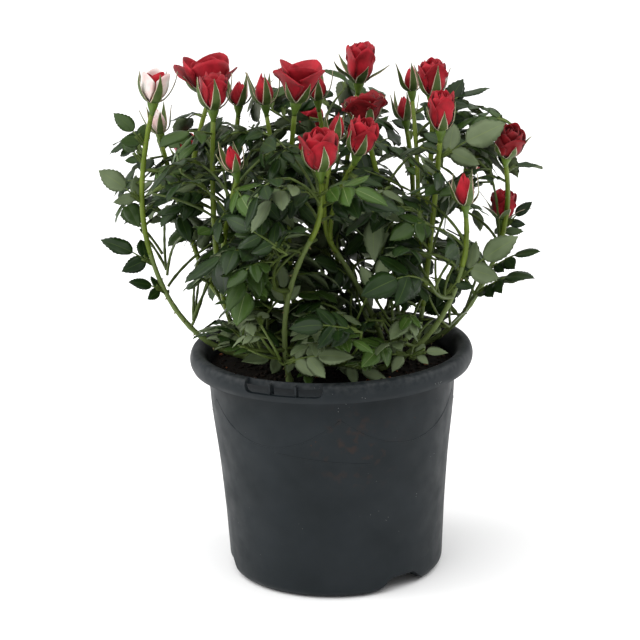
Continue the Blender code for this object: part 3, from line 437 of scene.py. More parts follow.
# ---- finishes: dark and light colour, roughness, and the sizes of patches, grain and relief in metres ----
Finish = namedtuple("Finish", "dark light roughness patch grain relief specular sheen", defaults=(0.5, 0.0))
FINISHES = {
    "leaf_deep": Finish((0.006, 0.018, 0.003), (0.013, 0.033, 0.005), 0.38, 0.030, 0.0012, 0.00006, 0.20),
    "leaf_shade": Finish((0.010, 0.024, 0.005), (0.018, 0.039, 0.009), 0.38, 0.030, 0.0012, 0.00006, 0.20),
    "leaf_mid": Finish((0.018, 0.040, 0.006), (0.033, 0.065, 0.011), 0.38, 0.030, 0.0012, 0.00006, 0.20),
    "leaf_fresh": Finish((0.030, 0.066, 0.008), (0.050, 0.098, 0.016), 0.38, 0.030, 0.0012, 0.00006, 0.20),
    "leaf_grey": Finish((0.085, 0.117, 0.053), (0.143, 0.183, 0.096), 0.52, 0.030, 0.0012, 0.00006, 0.20),
    "rib_dark": Finish((0.030, 0.055, 0.010), (0.048, 0.080, 0.018), 0.50, 0.030, 0.0010, 0.00004, 0.16),
    "rib_pale": Finish((0.110, 0.150, 0.050), (0.160, 0.205, 0.085), 0.50, 0.030, 0.0010, 0.00004, 0.18),
    "under_dark": Finish((0.060, 0.084, 0.034), (0.092, 0.122, 0.055), 0.60, 0.030, 0.0012, 0.00006, 0.2),
    "under_pale": Finish((0.120, 0.150, 0.078), (0.175, 0.210, 0.115), 0.60, 0.030, 0.0012, 0.00006, 0.2),
    "twig_green": Finish((0.040, 0.062, 0.010), (0.075, 0.108, 0.020), 0.50, 0.012, 0.0008, 0.00005, 0.25),
    "stalk_green": Finish((0.050, 0.078, 0.012), (0.090, 0.128, 0.024), 0.48, 0.012, 0.0008, 0.00005, 0.25),
    "shoot_green": Finish((0.090, 0.135, 0.010), (0.155, 0.215, 0.024), 0.44, 0.016, 0.0008, 0.00006, 0.25),
    "cane_bark": Finish((0.055, 0.070, 0.010), (0.115, 0.135, 0.024), 0.55, 0.014, 0.0009, 0.00012, 0.25),
    "thorn": Finish((0.170, 0.150, 0.060), (0.260, 0.230, 0.100), 0.50, 0.006, 0.0005, 0.00003, 0.35),
    "hip_green": Finish((0.060, 0.115, 0.012), (0.120, 0.195, 0.024), 0.46, 0.010, 0.0008, 0.00005, 0.35),
    "sepal_green": Finish((0.045, 0.080, 0.014), (0.085, 0.130, 0.028), 0.52, 0.008, 0.0008, 0.00005, 0.35),
    "sepal_edge": Finish((0.420, 0.310, 0.210), (0.600, 0.500, 0.380), 0.60, 0.006, 0.0006, 0.00004, 0.35),
    "petal_red": Finish((0.215, 0.004, 0.009), (0.410, 0.010, 0.022),
                        0.55, 0.010, 0.0007, 0.00006, 0.16, 0.08),
    "petal_deep": Finish((0.125, 0.002, 0.004), (0.250, 0.005, 0.010),
                         0.55, 0.010, 0.0007, 0.00006, 0.16, 0.08),
    "petal_pale": Finish((0.780, 0.500, 0.480), (0.880, 0.840, 0.800),
                         0.52, 0.010, 0.0007, 0.00006, 0.25, 0.1),
    "peat": Finish((0.004, 0.0035, 0.003), (0.014, 0.011, 0.008), 0.95, 0.004, 0.0009, 0.00060, 0.10),
    "peat_crumb": Finish((0.005, 0.004, 0.0035), (0.024, 0.016, 0.011), 0.92, 0.003, 0.0006, 0.00030, 0.10),
    "bark_chip": Finish((0.110, 0.036, 0.014), (0.260, 0.095, 0.042), 0.80, 0.003, 0.0006, 0.00020, 0.15),
}
POT_COLOURS = ((0.0070, 0.0104, 0.0124), (0.0126, 0.0168, 0.0198))
DUST = (0.110, 0.112, 0.110)
SCUFF = (0.026, 0.017, 0.014)
# The scale of each kind of speck, its size in a cell of that scale, and its colour: peat, and pale dust,
# whose specks also paint small glints.
POT_SPECKS = ((190.0, 0.15, (0.030, 0.017, 0.012)), (330.0, 0.090, (0.260, 0.260, 0.250)))


# ---- small tools ---------------------------------------------------------------------------------
def polar(radius, angle, height):
    return Vector((radius * math.cos(angle), radius * math.sin(angle), height))


def bezier(start, guide, end, steps):
    """Points of a curve that leaves start towards guide and reaches end from it."""
    points = []
    for i in range(steps + 1):
        t = i / steps
        points.append(start * (1 - t) ** 2 + guide * 2 * t * (1 - t) + end * t * t)
    return points


def along_line(points, distance):
    """The point at a distance along a line of points, and the direction there."""
    for a, b in zip(points, points[1:]):
        step = (b - a).length
        if distance <= step:
            break
        distance -= step
    return a.lerp(b, min(distance / step, 1.0)), (b - a).normalized()


def line_length(points):
    return sum((b - a).length for a, b in zip(points, points[1:]))


def smooth_step(values, low, high):
    share = np.clip((values - low) / (high - low), 0.0, 1.0)
    return share * share * (3 - 2 * share)


def evenly_turned(count, number):
    """The angle of one of a count of things set evenly round a circle."""
    return math.tau * number / count


class Pile:
    """Small meshes joined into one piece, each face with the number of its material."""

    def __init__(self, name, *finishes):
        self.name, self.finishes = name, finishes
        self.points, self.loops, self.totals, self.slots = [], [], [], []
        self.count = 0

    def add(self, points, parts):
        """Adds points, and faces as (rows of point numbers, finish number) pairs."""
        points = np.asarray(points, float).reshape(-1, 3)
        for rows, slot in parts:
            rows = np.asarray(rows)
            self.loops.append((rows + self.count).ravel())
            self.totals.append(np.full(len(rows), rows.shape[1]))
            self.slots.append(np.broadcast_to(slot, len(rows)))
        self.points.append(points)
        self.count += len(points)

    def build(self):
        points = np.concatenate(self.points)
        loops = np.concatenate(self.loops)
        totals = np.concatenate(self.totals)
        mesh = bpy.data.meshes.new(self.name)
        mesh.vertices.add(len(points))
        mesh.vertices.foreach_set("co", points.ravel())
        mesh.loops.add(len(loops))
        mesh.loops.foreach_set("vertex_index", loops)
        mesh.polygons.add(len(totals))
        mesh.polygons.foreach_set("loop_start", np.concatenate([[0], np.cumsum(totals)[:-1]]))
        mesh.polygons.foreach_set("material_index", np.concatenate(self.slots))
        mesh.update(calc_edges=True)
        mesh.shade_smooth()
        obj = bpy.data.objects.new(self.name, mesh)
        bpy.context.scene.collection.objects.link(obj)
        for finish in self.finishes:
            mesh.materials.append(finish_material(finish))
        return obj


@functools.lru_cache(maxsize=None)
def sheet_faces(rows, columns, inner_columns=None):
    """Faces of a closed thin sheet: its top, its underside and its two ends, as rows of point numbers.

    The points are the top's, row by row, and then the underside's without its margins, which it shares. The
    underside has as many columns between its margins as the top, or as given.
    """
    inner_columns = inner_columns or columns - 2
    top = np.arange(rows * columns).reshape(rows, columns)
    inner = np.arange(rows * inner_columns).reshape(rows, inner_columns) + rows * columns
    under = np.concatenate([top[:, :1], inner, top[:, -1:]], axis=1)

    def quads(grid):
        return np.stack([grid[:-1, :-1], grid[:-1, 1:], grid[1:, 1:], grid[1:, :-1]], axis=-1).reshape(-1, 4)

    first = np.concatenate([top[0, ::-1], inner[0]])[None]
    last = np.concatenate([top[-1], inner[-1, ::-1]])[None]
    return quads(top), quads(under)[:, ::-1], np.concatenate([first, last])


@functools.lru_cache(maxsize=None)
def tube_faces(rows, sides):
    ring = np.arange(sides)
    nexts = (ring + 1) % sides
    start = np.arange(rows - 1)[:, None] * sides
    walls = np.stack([start + ring, start + nexts, start + nexts + sides, start + ring + sides], axis=-1)
    ends = np.stack([ring[::-1], ring + (rows - 1) * sides])
    return walls.reshape(-1, 4), ends


def tube_rings(points, radii, sides):
    """Rings square to a line of points, turned as little as they can be, with the spokes they lie on."""
    steps = [(b - a).normalized() for a, b in zip(points, points[1:])]
    tangents = [steps[0]] + [(a + b).normalized() for a, b in zip(steps, steps[1:])] + [steps[-1]]
    side = tangents[0].orthogonal().normalized()
    sides_of, crosses = [], []
    for i, tangent in enumerate(tangents):
        if i:
            side = tangents[i - 1].rotation_difference(tangent) @ side
        sides_of.append(side)
        crosses.append(tangent.cross(side))
    angles = np.arange(sides) * math.tau / sides
    spokes = (np.array(sides_of)[:, None] * np.cos(angles)[None, :, None]
              + np.array(crosses)[:, None] * np.sin(angles)[None, :, None])
    rings = np.array(points)[:, None] + spokes * np.reshape(radii, (len(points), -1, 1))
    return rings, spokes


def add_tube(pile, points, radii, sides, slot=0):
    rings, _ = tube_rings(points, radii, sides)
    walls, ends = tube_faces(len(points), sides)
    pile.add(rings, ((walls, slot), (ends, slot)))


# ---- materials -----------------------------------------------------------------------------------
def node(tree, kind, **values):
    """Adds a node and sets its inputs, which are named with _ for a space."""
    item = tree.nodes.new(kind)
    for name, value in values.items():
        item.inputs[name.replace("_", " ")].default_value = value
    return item


def mixed(tree, factor, first, second):
    """A colour mix by a factor socket; first and second are colours or sockets."""
    mix = tree.nodes.new("ShaderNodeMix")
    mix.data_type = "RGBA"
    tree.links.new(factor, mix.inputs[0])
    for socket, value in ((mix.inputs[6], first), (mix.inputs[7], second)):
        if isinstance(value, bpy.types.NodeSocket):
            tree.links.new(value, socket)
        else:
            socket.default_value = (*value, 1.0)
    return mix.outputs[2]


def ranged(tree, value, low, high, out_low, out_high):
    change = node(tree, "ShaderNodeMapRange", From_Min=low, From_Max=high, To_Min=out_low, To_Max=out_high)
    tree.links.new(value, change.inputs["Value"])
    return change.outputs["Result"]


def product(tree, first, second):
    both = tree.nodes.new("ShaderNodeMath")
    both.operation = "MULTIPLY"
    tree.links.new(first, both.inputs[0])
    tree.links.new(second, both.inputs[1])
    return both.outputs[0]


def noise_of(tree, place, scale, detail=3.0):
    texture = node(tree, "ShaderNodeTexNoise", Scale=scale, Detail=detail)
    tree.links.new(place, texture.inputs["Vector"])
    return texture.outputs["Fac"]


def new_material(name):
    """A material, its nodes, its shader, and the place on the object."""
    material = bpy.data.materials.new(name)
    material.use_nodes = True
    tree = material.node_tree
    place = tree.nodes.new("ShaderNodeTexCoord").outputs["Object"]
    return material, tree, tree.nodes["Principled BSDF"], place


def add_relief(tree, shader, height, strength, distance):
    bump = node(tree, "ShaderNodeBump", Strength=strength, Distance=distance)
    tree.links.new(height, bump.inputs["Height"])
    tree.links.new(bump.outputs["Normal"], shader.inputs["Normal"])


def finish_material(name):
    """A finish as nodes: patches between its two colours, roughness that follows them, and a fine relief."""
    material = bpy.data.materials.get(name)
    if material:
        return material
    finish = FINISHES[name]
    material, tree, shader, place = new_material(name)
    patches = noise_of(tree, place, 1 / finish.patch)
    share = ranged(tree, patches, 0.35, 0.65, 0.0, 1.0)
    tree.links.new(mixed(tree, share, finish.dark, finish.light), shader.inputs["Base Color"])
    rough = ranged(tree, patches, 0.3, 0.7, finish.roughness - 0.07, finish.roughness + 0.07)
    tree.links.new(rough, shader.inputs["Roughness"])
    add_relief(tree, shader, noise_of(tree, place, 1 / finish.grain), 0.6, finish.relief)
    shader.inputs["Specular IOR Level"].default_value = finish.specular
    shader.inputs["Sheen Weight"].default_value = finish.sheen
    return material


def pot_material():
    """Slate-grey plastic: a faint mottle, specks of peat and of pale dust that also paint small glints, a
    scuff and a dusty lip.
    """
    material, tree, shader, place = new_material("pot_plastic")
    mottle = ranged(tree, noise_of(tree, place, 28.0, 5.0), 0.3, 0.7, 0.0, 1.0)
    color = mixed(tree, mottle, *POT_COLOURS)
    split = tree.nodes.new("ShaderNodeSeparateXYZ")
    tree.links.new(place, split.inputs[0])
    height = split.outputs["Z"]
    lip = ranged(tree, height, 0.1780, 0.1880, 0.0, 0.30)
    dust = ranged(tree, noise_of(tree, place, 240.0, 7.0), 0.36, 0.72, 0.0, 1.0)
    color = mixed(tree, product(tree, lip, dust), color, DUST)
    # The pale specks are dust and also paint small glints on the plastic.
    for scale, size, tint in POT_SPECKS:
        cells = node(tree, "ShaderNodeTexVoronoi", Scale=scale)
        tree.links.new(place, cells.inputs["Vector"])
        speck = ranged(tree, cells.outputs["Distance"], size, size * 0.7, 0.0, 1.0)
        few = ranged(tree, noise_of(tree, place, scale * 0.16, 2.0), 0.63, 0.67, 0.0, 1.0)
        color = mixed(tree, product(tree, speck, few), color, tint)
    apart = tree.nodes.new("ShaderNodeVectorMath")
    apart.operation = "DISTANCE"
    tree.links.new(place, apart.inputs[0])
    apart.inputs[1].default_value = SCUFF_PLACE
    near = ranged(tree, apart.outputs["Value"], *SCUFF_REACH, 1.0, 0.0)
    patchy = ranged(tree, noise_of(tree, place, 130.0, 6.0), 0.54, 0.66, 0.0, 0.8)
    color = mixed(tree, product(tree, near, patchy), color, SCUFF)
    tree.links.new(color, shader.inputs["Base Color"])
    shader.inputs["Specular IOR Level"].default_value = 0.16
    streaks = noise_of(tree, place, 60.0, 6.0)
    tree.links.new(ranged(tree, streaks, 0.3, 0.7, 0.42, 0.60), shader.inputs["Roughness"])
    add_relief(tree, shader, noise_of(tree, place, 90.0, 6.0), 0.35, 0.0003)
    return material


def studio_material(name, color):
    """Pale paper with a very faint mottle."""
    material, tree, shader, place = new_material(name)
    share = noise_of(tree, place, 1.5)
    tree.links.new(mixed(tree, share, color, [value * 0.985 for value in color]), shader.inputs["Base Color"])
    shader.inputs["Roughness"].default_value = 0.9
    return material


# ---- the pot -------------------------------------------------------------------------------------
def rounded_through(points, steps):
    """A smooth line through points (Catmull-Rom), for a moulded curve."""
    points = [Vector(point) for point in points]
    ends = [points[0] * 2 - points[1], *points, points[-1] * 2 - points[-2]]
    line = []
    for a, b, c, d in zip(ends, ends[1:], ends[2:], ends[3:]):
        for i in range(steps):
            t = i / steps
            line.append(0.5 * ((2 * b) + (c - a) * t + (2 * a - 5 * b + 4 * c - d) * t * t
                               + (3 * b - a - 3 * c + d) * t**3))
    return [tuple(point) for point in line] + [tuple(points[-1])]


def pot_profile():
    """Radius and height from the axis inside the pot, up over the rim, and down and under to the axis."""
    low = (HEEL_RADIUS - POT_WALL, CHANNEL_TOP + POT_FLOOR)
    top, middle, *_ = BODY_SIDE
    inside = [low, (middle[0] - POT_WALL, middle[1]), (top[0] - POT_WALL, top[1])]
    floor = [(0.0, POT_FLOOR), (FOOT_RADIUS - POT_FLOOR, POT_FLOOR), (FOOT_RADIUS, CHANNEL_TOP + POT_FLOOR)]
    rim = rounded_through([inside[-1], *WALL_FLARE, LIP, *RIM_OUTSIDE], 5)
    side = rounded_through(BODY_SIDE, 4)
    centre = HEEL_RADIUS - HEEL_ROUND
    heel = [(centre + HEEL_ROUND * math.cos(a), HEEL_ROUND * (1 - math.sin(a)))
            for a in (math.radians(10 * i) for i in range(10))]
    underside = [(RING_INSIDE, 0.0), (RING_INSIDE - 0.001, CHANNEL_TOP),
                 (FOOT_RADIUS + POT_FLOOR, CHANNEL_TOP), (FOOT_RADIUS, 0.0), (0.0, 0.0)]
    return floor + inside[:-1] + rim + list(RIM_UNDERSIDE) + side + heel + underside


def bm_object(name, bm):
    mesh = bpy.data.meshes.new(name)
    bmesh.ops.recalc_face_normals(bm, faces=bm.faces)
    bm.to_mesh(mesh)
    bm.free()
    obj = bpy.data.objects.new(name, mesh)
    bpy.context.scene.collection.objects.link(obj)
    return obj


def band_of_sections(name, sections):
    """A closed solid through four-cornered sections."""
    bm = bmesh.new()
    loops = [[bm.verts.new(corner) for corner in section] for section in sections]
    for low, high in zip(loops, loops[1:]):
        for i in range(4):
            j = (i + 1) % 4
            bm.faces.new((low[i], low[j], high[j], high[i]))
    bm.faces.new(loops[0][::-1])
    bm.faces.new(loops[-1])
    return bm_object(name, bm)


def arch_section(share, middle):
    """Across an arch that is cut through the foot ring: a flat top that falls away to both sides."""
    inside, outside, low = RING_INSIDE - CUT_PAST, HEEL_RADIUS + CUT_PAST, -CUT_UNDER
    top = ARCH_HEIGHT * (1 + math.cos(math.pi * share)) / 2 + 0.0001
    top = min(top * ARCH_SWELL, ARCH_HEIGHT)
    corners = ((inside, low), (outside, low), (outside, top), (inside, top))
    return [polar(radius, middle + share * ARCH_HALF, height) for radius, height in corners]


def grip_section(share, middle):
    """Across a hand hold that is cut down through the rim, with rounded lower corners."""
    corner = GRIP_CORNER / LIP[0]
    outside, top = LIP[0] + 0.012, LIP[1] + 0.006
    into_corner = max(0.0, (abs(share) * GRIP_HALF - (GRIP_HALF - corner)) / corner)
    low = GRIP_FLOOR + GRIP_CORNER * (1 - math.sqrt(max(0.0, 1 - into_corner**2)))
    corners = ((GRIP_INSIDE, low), (outside, low), (outside, top), (GRIP_INSIDE, top))
    return [polar(radius, middle + share * GRIP_HALF, height) for radius, height in corners]


def grip_rib(middle):
    """A gusset that stands across a hand hold, a little under the lip."""
    inside, outside = RIB_SPAN
    low, high = GRIP_FLOOR - 0.002, LIP[1] - RIB_UNDER
    half = RIB_WIDTH / 2
    turn = Matrix.Rotation(middle, 3, "Z")
    sections = []
    for across in (-half, half):
        corners = ((inside, low), (outside, low), (outside, high), (inside, high))
        sections.append([turn @ Vector((radius, across, height)) for radius, height in corners])
    return band_of_sections("rib", sections)


def combined(obj, others, operation):
    """Cuts the other solids from a mesh, or fuses them on, and removes them."""
    for other in others:
        modifier = obj.modifiers.new("join", "BOOLEAN")
        modifier.operation = operation
        modifier.object = other
        modifier.solver = "EXACT"
    graph = bpy.context.evaluated_depsgraph_get()
    result = bpy.data.meshes.new_from_object(obj.evaluated_get(graph))
    obj.modifiers.clear()
    obj.data = result
    for other in others:
        bpy.data.objects.remove(other, do_unlink=True)


def garland_lines():
    """The moulded lines on the pot: swags all round that meet in peaks, and a faint scratch on the front."""
    lines = []
    for number in range(SWAGS):
        middle = SWAG_MIDDLE + 360 / SWAGS * number
        lines.append([(middle + share * SWAG_SPAN / SWAGS, SWAG_LOW + SWAG_RISE * share**2)
                      for share in np.linspace(-1, 1, 33)])
    lines.append([tuple(spot) for spot in np.linspace(*SCRATCH, 24)])
    return lines


def body_radius(height):
    heights = [point[1] for point in BODY_SIDE[::-1]]
    radii = [point[0] for point in BODY_SIDE[::-1]]
    return float(np.interp(height, heights, radii))


def make_pot():
    bm = bmesh.new()
    profile = pot_profile()
    line = [bm.verts.new((radius, 0.0, height)) for radius, height in profile]
    edges = [bm.edges.new(pair) for pair in zip(line, line[1:])]
    bmesh.ops.spin(bm, geom=[*line, *edges], cent=(0, 0, 0), axis=(0, 0, 1), angle=math.tau,
                   steps=POT_SIDES, use_merge=True)
    bmesh.ops.remove_doubles(bm, verts=bm.verts, dist=1e-6)
    pot = bm_object("pot_shell", bm)
    shares = np.linspace(-1, 1, 41)
    cutters = []
    for number in range(ARCHES):
        middle = ARCH_ANGLE + evenly_turned(ARCHES, number)
        cutters.append(band_of_sections("arch", [arch_section(share, middle) for share in shares]))
    for number in range(GRIPS):
        middle = GRIP_ANGLE + evenly_turned(GRIPS, number)
        cutters.append(band_of_sections("grip", [grip_section(share, middle) for share in shares]))
    combined(pot, cutters, "DIFFERENCE")
    ribs = []
    for number in range(GRIPS):
        for side in (-1, 1):
            ribs.append(grip_rib(GRIP_ANGLE + evenly_turned(GRIPS, number) + side * GRIP_HALF / 3))
    combined(pot, ribs, "UNION")
    pot.data.shade_smooth()
    pot.data.set_sharp_from_angle(angle=math.radians(38))
    pot.data.materials.clear()
    pot.data.materials.append(pot_material())
    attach(pot, "root")
    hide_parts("pot")
    trim = Pile("pot_moulding")
    for line in garland_lines():
        points = [polar(body_radius(height) - MOULDING_SUNK, math.radians(angle), height)
                  for angle, height in line]
        add_tube(trim, points, np.full(len(points), MOULDING_RADIUS), 6)
    moulding = trim.build()
    moulding.data.materials.append(pot.data.materials[0])
    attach(moulding, "root")


# ---- the compost ---------------------------------------------------------------------------------
def soil_height(x, y):
    """Lumpy ground: low swells, and clods a few millimetres across."""
    spot = Vector((x, y, 0.0))
    swell = noise.noise(spot * 45) * 0.45
    clods = noise.noise(spot * 190) * 0.35 + noise.noise(spot * 420) * 0.2
    edge = 1 - min(1.0, max(0.0, (math.hypot(x, y) - 0.090) / 0.008))
    return SOIL_TOP - 0.0012 + SOIL_RELIEF * (swell + clods) * (0.4 + 0.6 * edge) - 0.002 * (1 - edge)


def make_bed():
    pile = Pile("compost_bed", "peat")
    rings, sides = BED_RINGS, BED_SIDES
    points = [(0.0, 0.0, soil_height(0.0, 0.0))]
    for i in range(1, rings + 1):
        for k in range(sides):
            spot = polar(SOIL_RADIUS * i / rings, math.tau * k / sides, 0.0)
            points.append((spot.x, spot.y, soil_height(spot.x, spot.y)))
    for k in range(sides):
        points.append(polar(SOIL_RADIUS - 0.001, math.tau * k / sides, SOIL_TOP - SOIL_DEPTH))
    ring = np.arange(sides)
    nexts = (ring + 1) % sides
    middle = np.stack([np.zeros(sides, int), ring + 1, nexts + 1], axis=-1)
    start = 1 + np.arange(rings)[:, None] * sides
    walls = np.stack([start + ring, start + ring + sides, start + nexts + sides, start + nexts], axis=-1)
    bottom = (1 + rings * sides + ring[::-1])[None]
    pile.add(points, ((middle, 0), (walls.reshape(-1, 4), 0), (bottom, 0)))
    bed = pile.build()
    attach(bed, "root")
    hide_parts("soil")


def unit_ball():
    """The corners and faces of a rough ball of radius 1."""
    bm = bmesh.new()
    bmesh.ops.create_icosphere(bm, subdivisions=1, radius=1.0)
    ball = np.array([vert.co for vert in bm.verts])
    faces = np.array([[vert.index for vert in face.verts] for face in bm.faces])
    bm.free()
    return ball, faces


def make_crumbs(rng):
    """Crumbs and bark chips on the compost, and crumbs in small heaps on the pot's lip."""
    crumbs = Pile("compost_crumbs", "peat_crumb", "bark_chip")
    ball, faces = unit_ball()
    for number in range(CRUMBS + len(CHIPS) + LIP_CRUMBS):
        on_lip = number >= CRUMBS + len(CHIPS)
        if number < len(CHIPS):
            (x, y), size = CHIPS[number]
            shape, slot = (size * 1.6, size * 0.9, size * 0.5), 1
        else:
            spot = polar(SOIL_RADIUS * 0.97 * math.sqrt(rng.random()), rng.uniform(0, math.tau), 0.0)
            if on_lip:
                bearing = rng.choice(LIP_HEAPS) + rng.gauss(0, HEAP_SPREAD)
                spot = polar(rng.uniform(*LIP_BAND), math.radians(bearing), 0.0)
            x, y = spot.x, spot.y
            size = rng.uniform(*(LIP_CRUMB_SIZES if on_lip else CRUMB_SIZES))
            slot = 1 if rng.random() < BARK_SHARE else 0
            shape = (size * rng.uniform(1, 2.2), size, size * rng.uniform(0.5, 0.9))
        turn = Quaternion((rng.uniform(-0.3, 0.3), rng.uniform(-0.3, 0.3), 1.0), rng.uniform(0, math.tau))
        lumps = ball * [[rng.uniform(0.8, 1.2)] for _ in ball] * shape
        ground = float(np.interp(math.hypot(x, y), *zip(*WALL_FLARE, LIP))) if on_lip else soil_height(x, y)
        lumps = lumps @ np.array(turn.to_matrix()).T + (x, y, ground + size * 0.25)
        crumbs.add(lumps, ((faces, slot),))
    heap = crumbs.build()
    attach(heap, "root")


# ---- canes and shoots ----------------------------------------------------------------------------
def cane_points(cane, steps=TEST_STEPS):
    return bezier(Vector((*cane.foot, SOIL_TOP)), Vector(cane.guide), Vector(cane.tip), steps)


def make_canes():
    """Canes with the bark's relief: low ridges along them, and swollen rings where leaves once sat."""
    pile = Pile("cane_stems", "cane_bark")
    for cane in CANES:
        points = cane_points(cane, CANE_STEPS)
        points.insert(0, points[0] + (points[0] - points[1]).normalized() * ROOT_DEPTH)
        length = line_length(points)
        places = np.linspace(0, 1, len(points))
        radii = CANE_FOOT_RADIUS + (CANE_TIP_RADIUS - CANE_FOOT_RADIUS) * places
        radii = radii + FOOT_SWELL * np.exp(-((places * length) / FOOT_SWELL_LENGTH) ** 2)
        rings = (places * length / RING_SPACING + 0.37) % 1.0
        radii = radii + RING_RELIEF * np.exp(-(((rings - 0.5) / 0.09) ** 2))
        shape, spokes = tube_rings(points, radii, CANE_SIDES)
        for i, ring in enumerate(shape):
            for k in range(CANE_SIDES):
                spot = Vector((k * 1.7, places[i] * length * 60, len(cane.name)))
                ring[k] += spokes[i, k] * BARK_RELIEF * noise.noise(spot)
        walls, ends = tube_faces(len(points), CANE_SIDES)
        pile.add(shape, ((walls, 0), (ends, 0)))
    stems = pile.build()
    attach(stems, "root")
    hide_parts(*(f"cane_{cane.name}" for cane in CANES))


Stem = namedtuple("Stem", "points bloom turn neck radii")


def first_stem(mass, shoot):
    """The shoot that meets the cane: end to end at its tip, or square to its side."""
    cane = next(item for item in CANES if item.name == mass.cane)
    line = cane_points(cane)
    tip = Vector(shoot.tip)
    if mass.along == TIP:
        start = line[-1]
        heading = (line[-1] - line[-2]).normalized()
        lead = [start - heading * TIP_OVERLAP]
    else:
        start, tangent = along_line(line, mass.along * line_length(line))
        heading = tip - start
        heading = (heading - tangent * heading.dot(tangent)).normalized()
        lead = [start]
        start = start + heading * SIDE_LEAD
    points = lead + bezier(start, start + heading * SHOOT_SPRING * (tip - start).length, tip, SHOOT_STEPS)
    end = SHOOT_TIP_RADIUS if shoot.bloom else TWIG_TIP_RADIUS
    neck = BARE_NECK if shoot.bloom else BLIND_NECK
    return Stem(points, shoot.bloom, shoot.turn, neck, (SHOOT_FOOT_RADIUS, end))


def side_stem(parent, share, tip, bloom, turn):
    """A shoot that leaves another's middle line."""
    start, tangent = along_line(parent.points, share * line_length(parent.points))
    tip = Vector(tip)
    reach = (tip - start).length
    heading = (tangent + (tip - start).normalized()).normalized()
    points = bezier(start, start + heading * SHOOT_SPRING * reach, tip, SHOOT_STEPS)
    radii = (SIDE_SHOOT_RADIUS, SHOOT_TIP_RADIUS * 0.9) if bloom else TWIG_RADII
    return Stem(points, bloom, turn, BARE_NECK if bloom else BLIND_NECK, radii)


def blind_stem(parent, number, span, lengths, rng):
    """A flowerless shoot, sent out by the rule."""
    share = rng.uniform(*span)
    bearing = math.radians(parent.turn + BLIND_FIRST + BLIND_TURN * number + rng.uniform(-25, 25))
    length = rng.uniform(*lengths)
    rise = math.radians(rng.uniform(*BLIND_RISE))
    start, _ = along_line(parent.points, share * line_length(parent.points))
    tip = start + polar(length * math.cos(rise), bearing, length * math.sin(rise))
    return side_stem(parent, share, tip, None, math.degrees(bearing) + 100)


def cane_twigs(rng, taken):
    """Short leafy twigs along the canes, and low ones over the compost, that clear everything so far."""
    parents = []
    for cane in CANES:
        line = cane_points(cane)
        parents.append(Stem(line, None, 0, 0.0, (CANE_FOOT_RADIUS, CANE_TIP_RADIUS)))
    plans = []
    for count, radii, bearings, heights, low, span in LOW_TWIGS:
        for _ in range(count):
            tip = polar(rng.uniform(*radii), math.radians(rng.uniform(*bearings)), rng.uniform(*heights))
            parent = min(parents, key=lambda stem: (stem.points[low] - tip).length)
            plans.append((parent, rng.uniform(*span), tip))
    for parent in parents:
        for _ in range(CANE_TWIGS):
            share = rng.uniform(*CANE_TWIG_SPAN)
            rise = math.radians(rng.uniform(*CANE_TWIG_RISE))
            length = rng.uniform(*CANE_TWIG_LENGTH)
            start, _ = along_line(parent.points, share * line_length(parent.points))
            reach = polar(length * math.cos(rise), math.radians(rng.uniform(0, 360)), length * math.sin(rise))
            plans.append((parent, share, start + reach))
    found = []
    for parent, share, tip in plans:
        stem = side_stem(parent, share, tip, None, rng.uniform(0, 360))
        if has_room(stem) and not touches(line_shape(stem.points[3:], TWIG_TEST_RADIUS), taken):
            taken.append(line_shape(stem.points, max(stem.radii)))
            found.append(stem)
    return found


def trimmed(stem, place):
    """A flowerless shoot cut back to its outermost leaf."""
    share = min(1.0, (place + 0.0008) / line_length(stem.points))
    kept = max(4, math.ceil(share * (len(stem.points) - 1)))
    end, _ = along_line(stem.points, share * line_length(stem.points))
    return stem._replace(points=[*stem.points[:kept], end])


def stem_radii(stem):
    """Tapering, a little thicker at each leaf."""
    span = line_length(stem.points)
    places = np.linspace(0, span, len(stem.points))
    radii = np.linspace(*stem.radii, len(stem.points))
    for place in leaf_places(stem):
        radii = radii + 0.00030 * np.exp(-(((places - place) / 0.0030) ** 2))
    return radii


def make_shoots(stems):
    pile = Pile("shoots", "shoot_green", "twig_green")
    for stem in stems:
        add_tube(pile, stem.points, stem_radii(stem), SHOOT_SIDES, 0 if stem.bloom else 1)
    shoots = pile.build()
    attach(shoots, "root")


def add_thorn(pile, point, outward, down, size):
    """A prickle: a broad flat root, drawn out and bent down to a point."""
    side = outward.cross(down).normalized()
    root = [point + down * size * 0.55, point + side * size * 0.22, point - down * size * 0.55,
            point - side * size * 0.22]
    middle = point + outward * size * 0.6 + down * size * 0.10
    waist = [middle + (corner - point) * 0.35 for corner in root]
    tip = point + outward * size * 1.15 + down * size * 0.35
    around = [(i, (i + 1) % 4) for i in range(4)]
    quads = [(i, j, j + 4, i + 4) for i, j in around]
    points = [tuple(spot) for spot in (*root, *waist, tip)]
    pile.add(points, ((quads, 0), ([(i + 4, j + 4, 8) for i, j in around], 0), ([(3, 2, 1, 0)], 0)))


def make_thorns(stems, rng):
    pile = Pile("thorns", "thorn")
    radii = (CANE_FOOT_RADIUS, CANE_TIP_RADIUS)
    lines = [(cane_points(cane), radii, *CANE_THORNS) for cane in CANES]
    for stem in stems:
        if stem.bloom:
            lines.append((stem.points, stem.radii, *SHOOT_THORNS))
            lines.append((stem.points[-NECK_STEPS:], (stem.radii[1], stem.radii[1]), *NECK_THORNS))
    for points, (foot, end), spacing, sizes in lines:
        length = line_length(points)
        place = rng.uniform(0.001, 0.006)
        while place < length - 0.001:
            middle, tangent = along_line(points, place)
            spoke = Quaternion(tangent, rng.uniform(0, math.tau)) @ tangent.orthogonal().normalized()
            radius = foot + (end - foot) * place / length
            add_thorn(pile, middle + spoke * (radius - 0.0002), spoke, -tangent, rng.uniform(*sizes))
            place += spacing * rng.uniform(0.4, 1.6)
    thorns = pile.build()
    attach(thorns, "root")


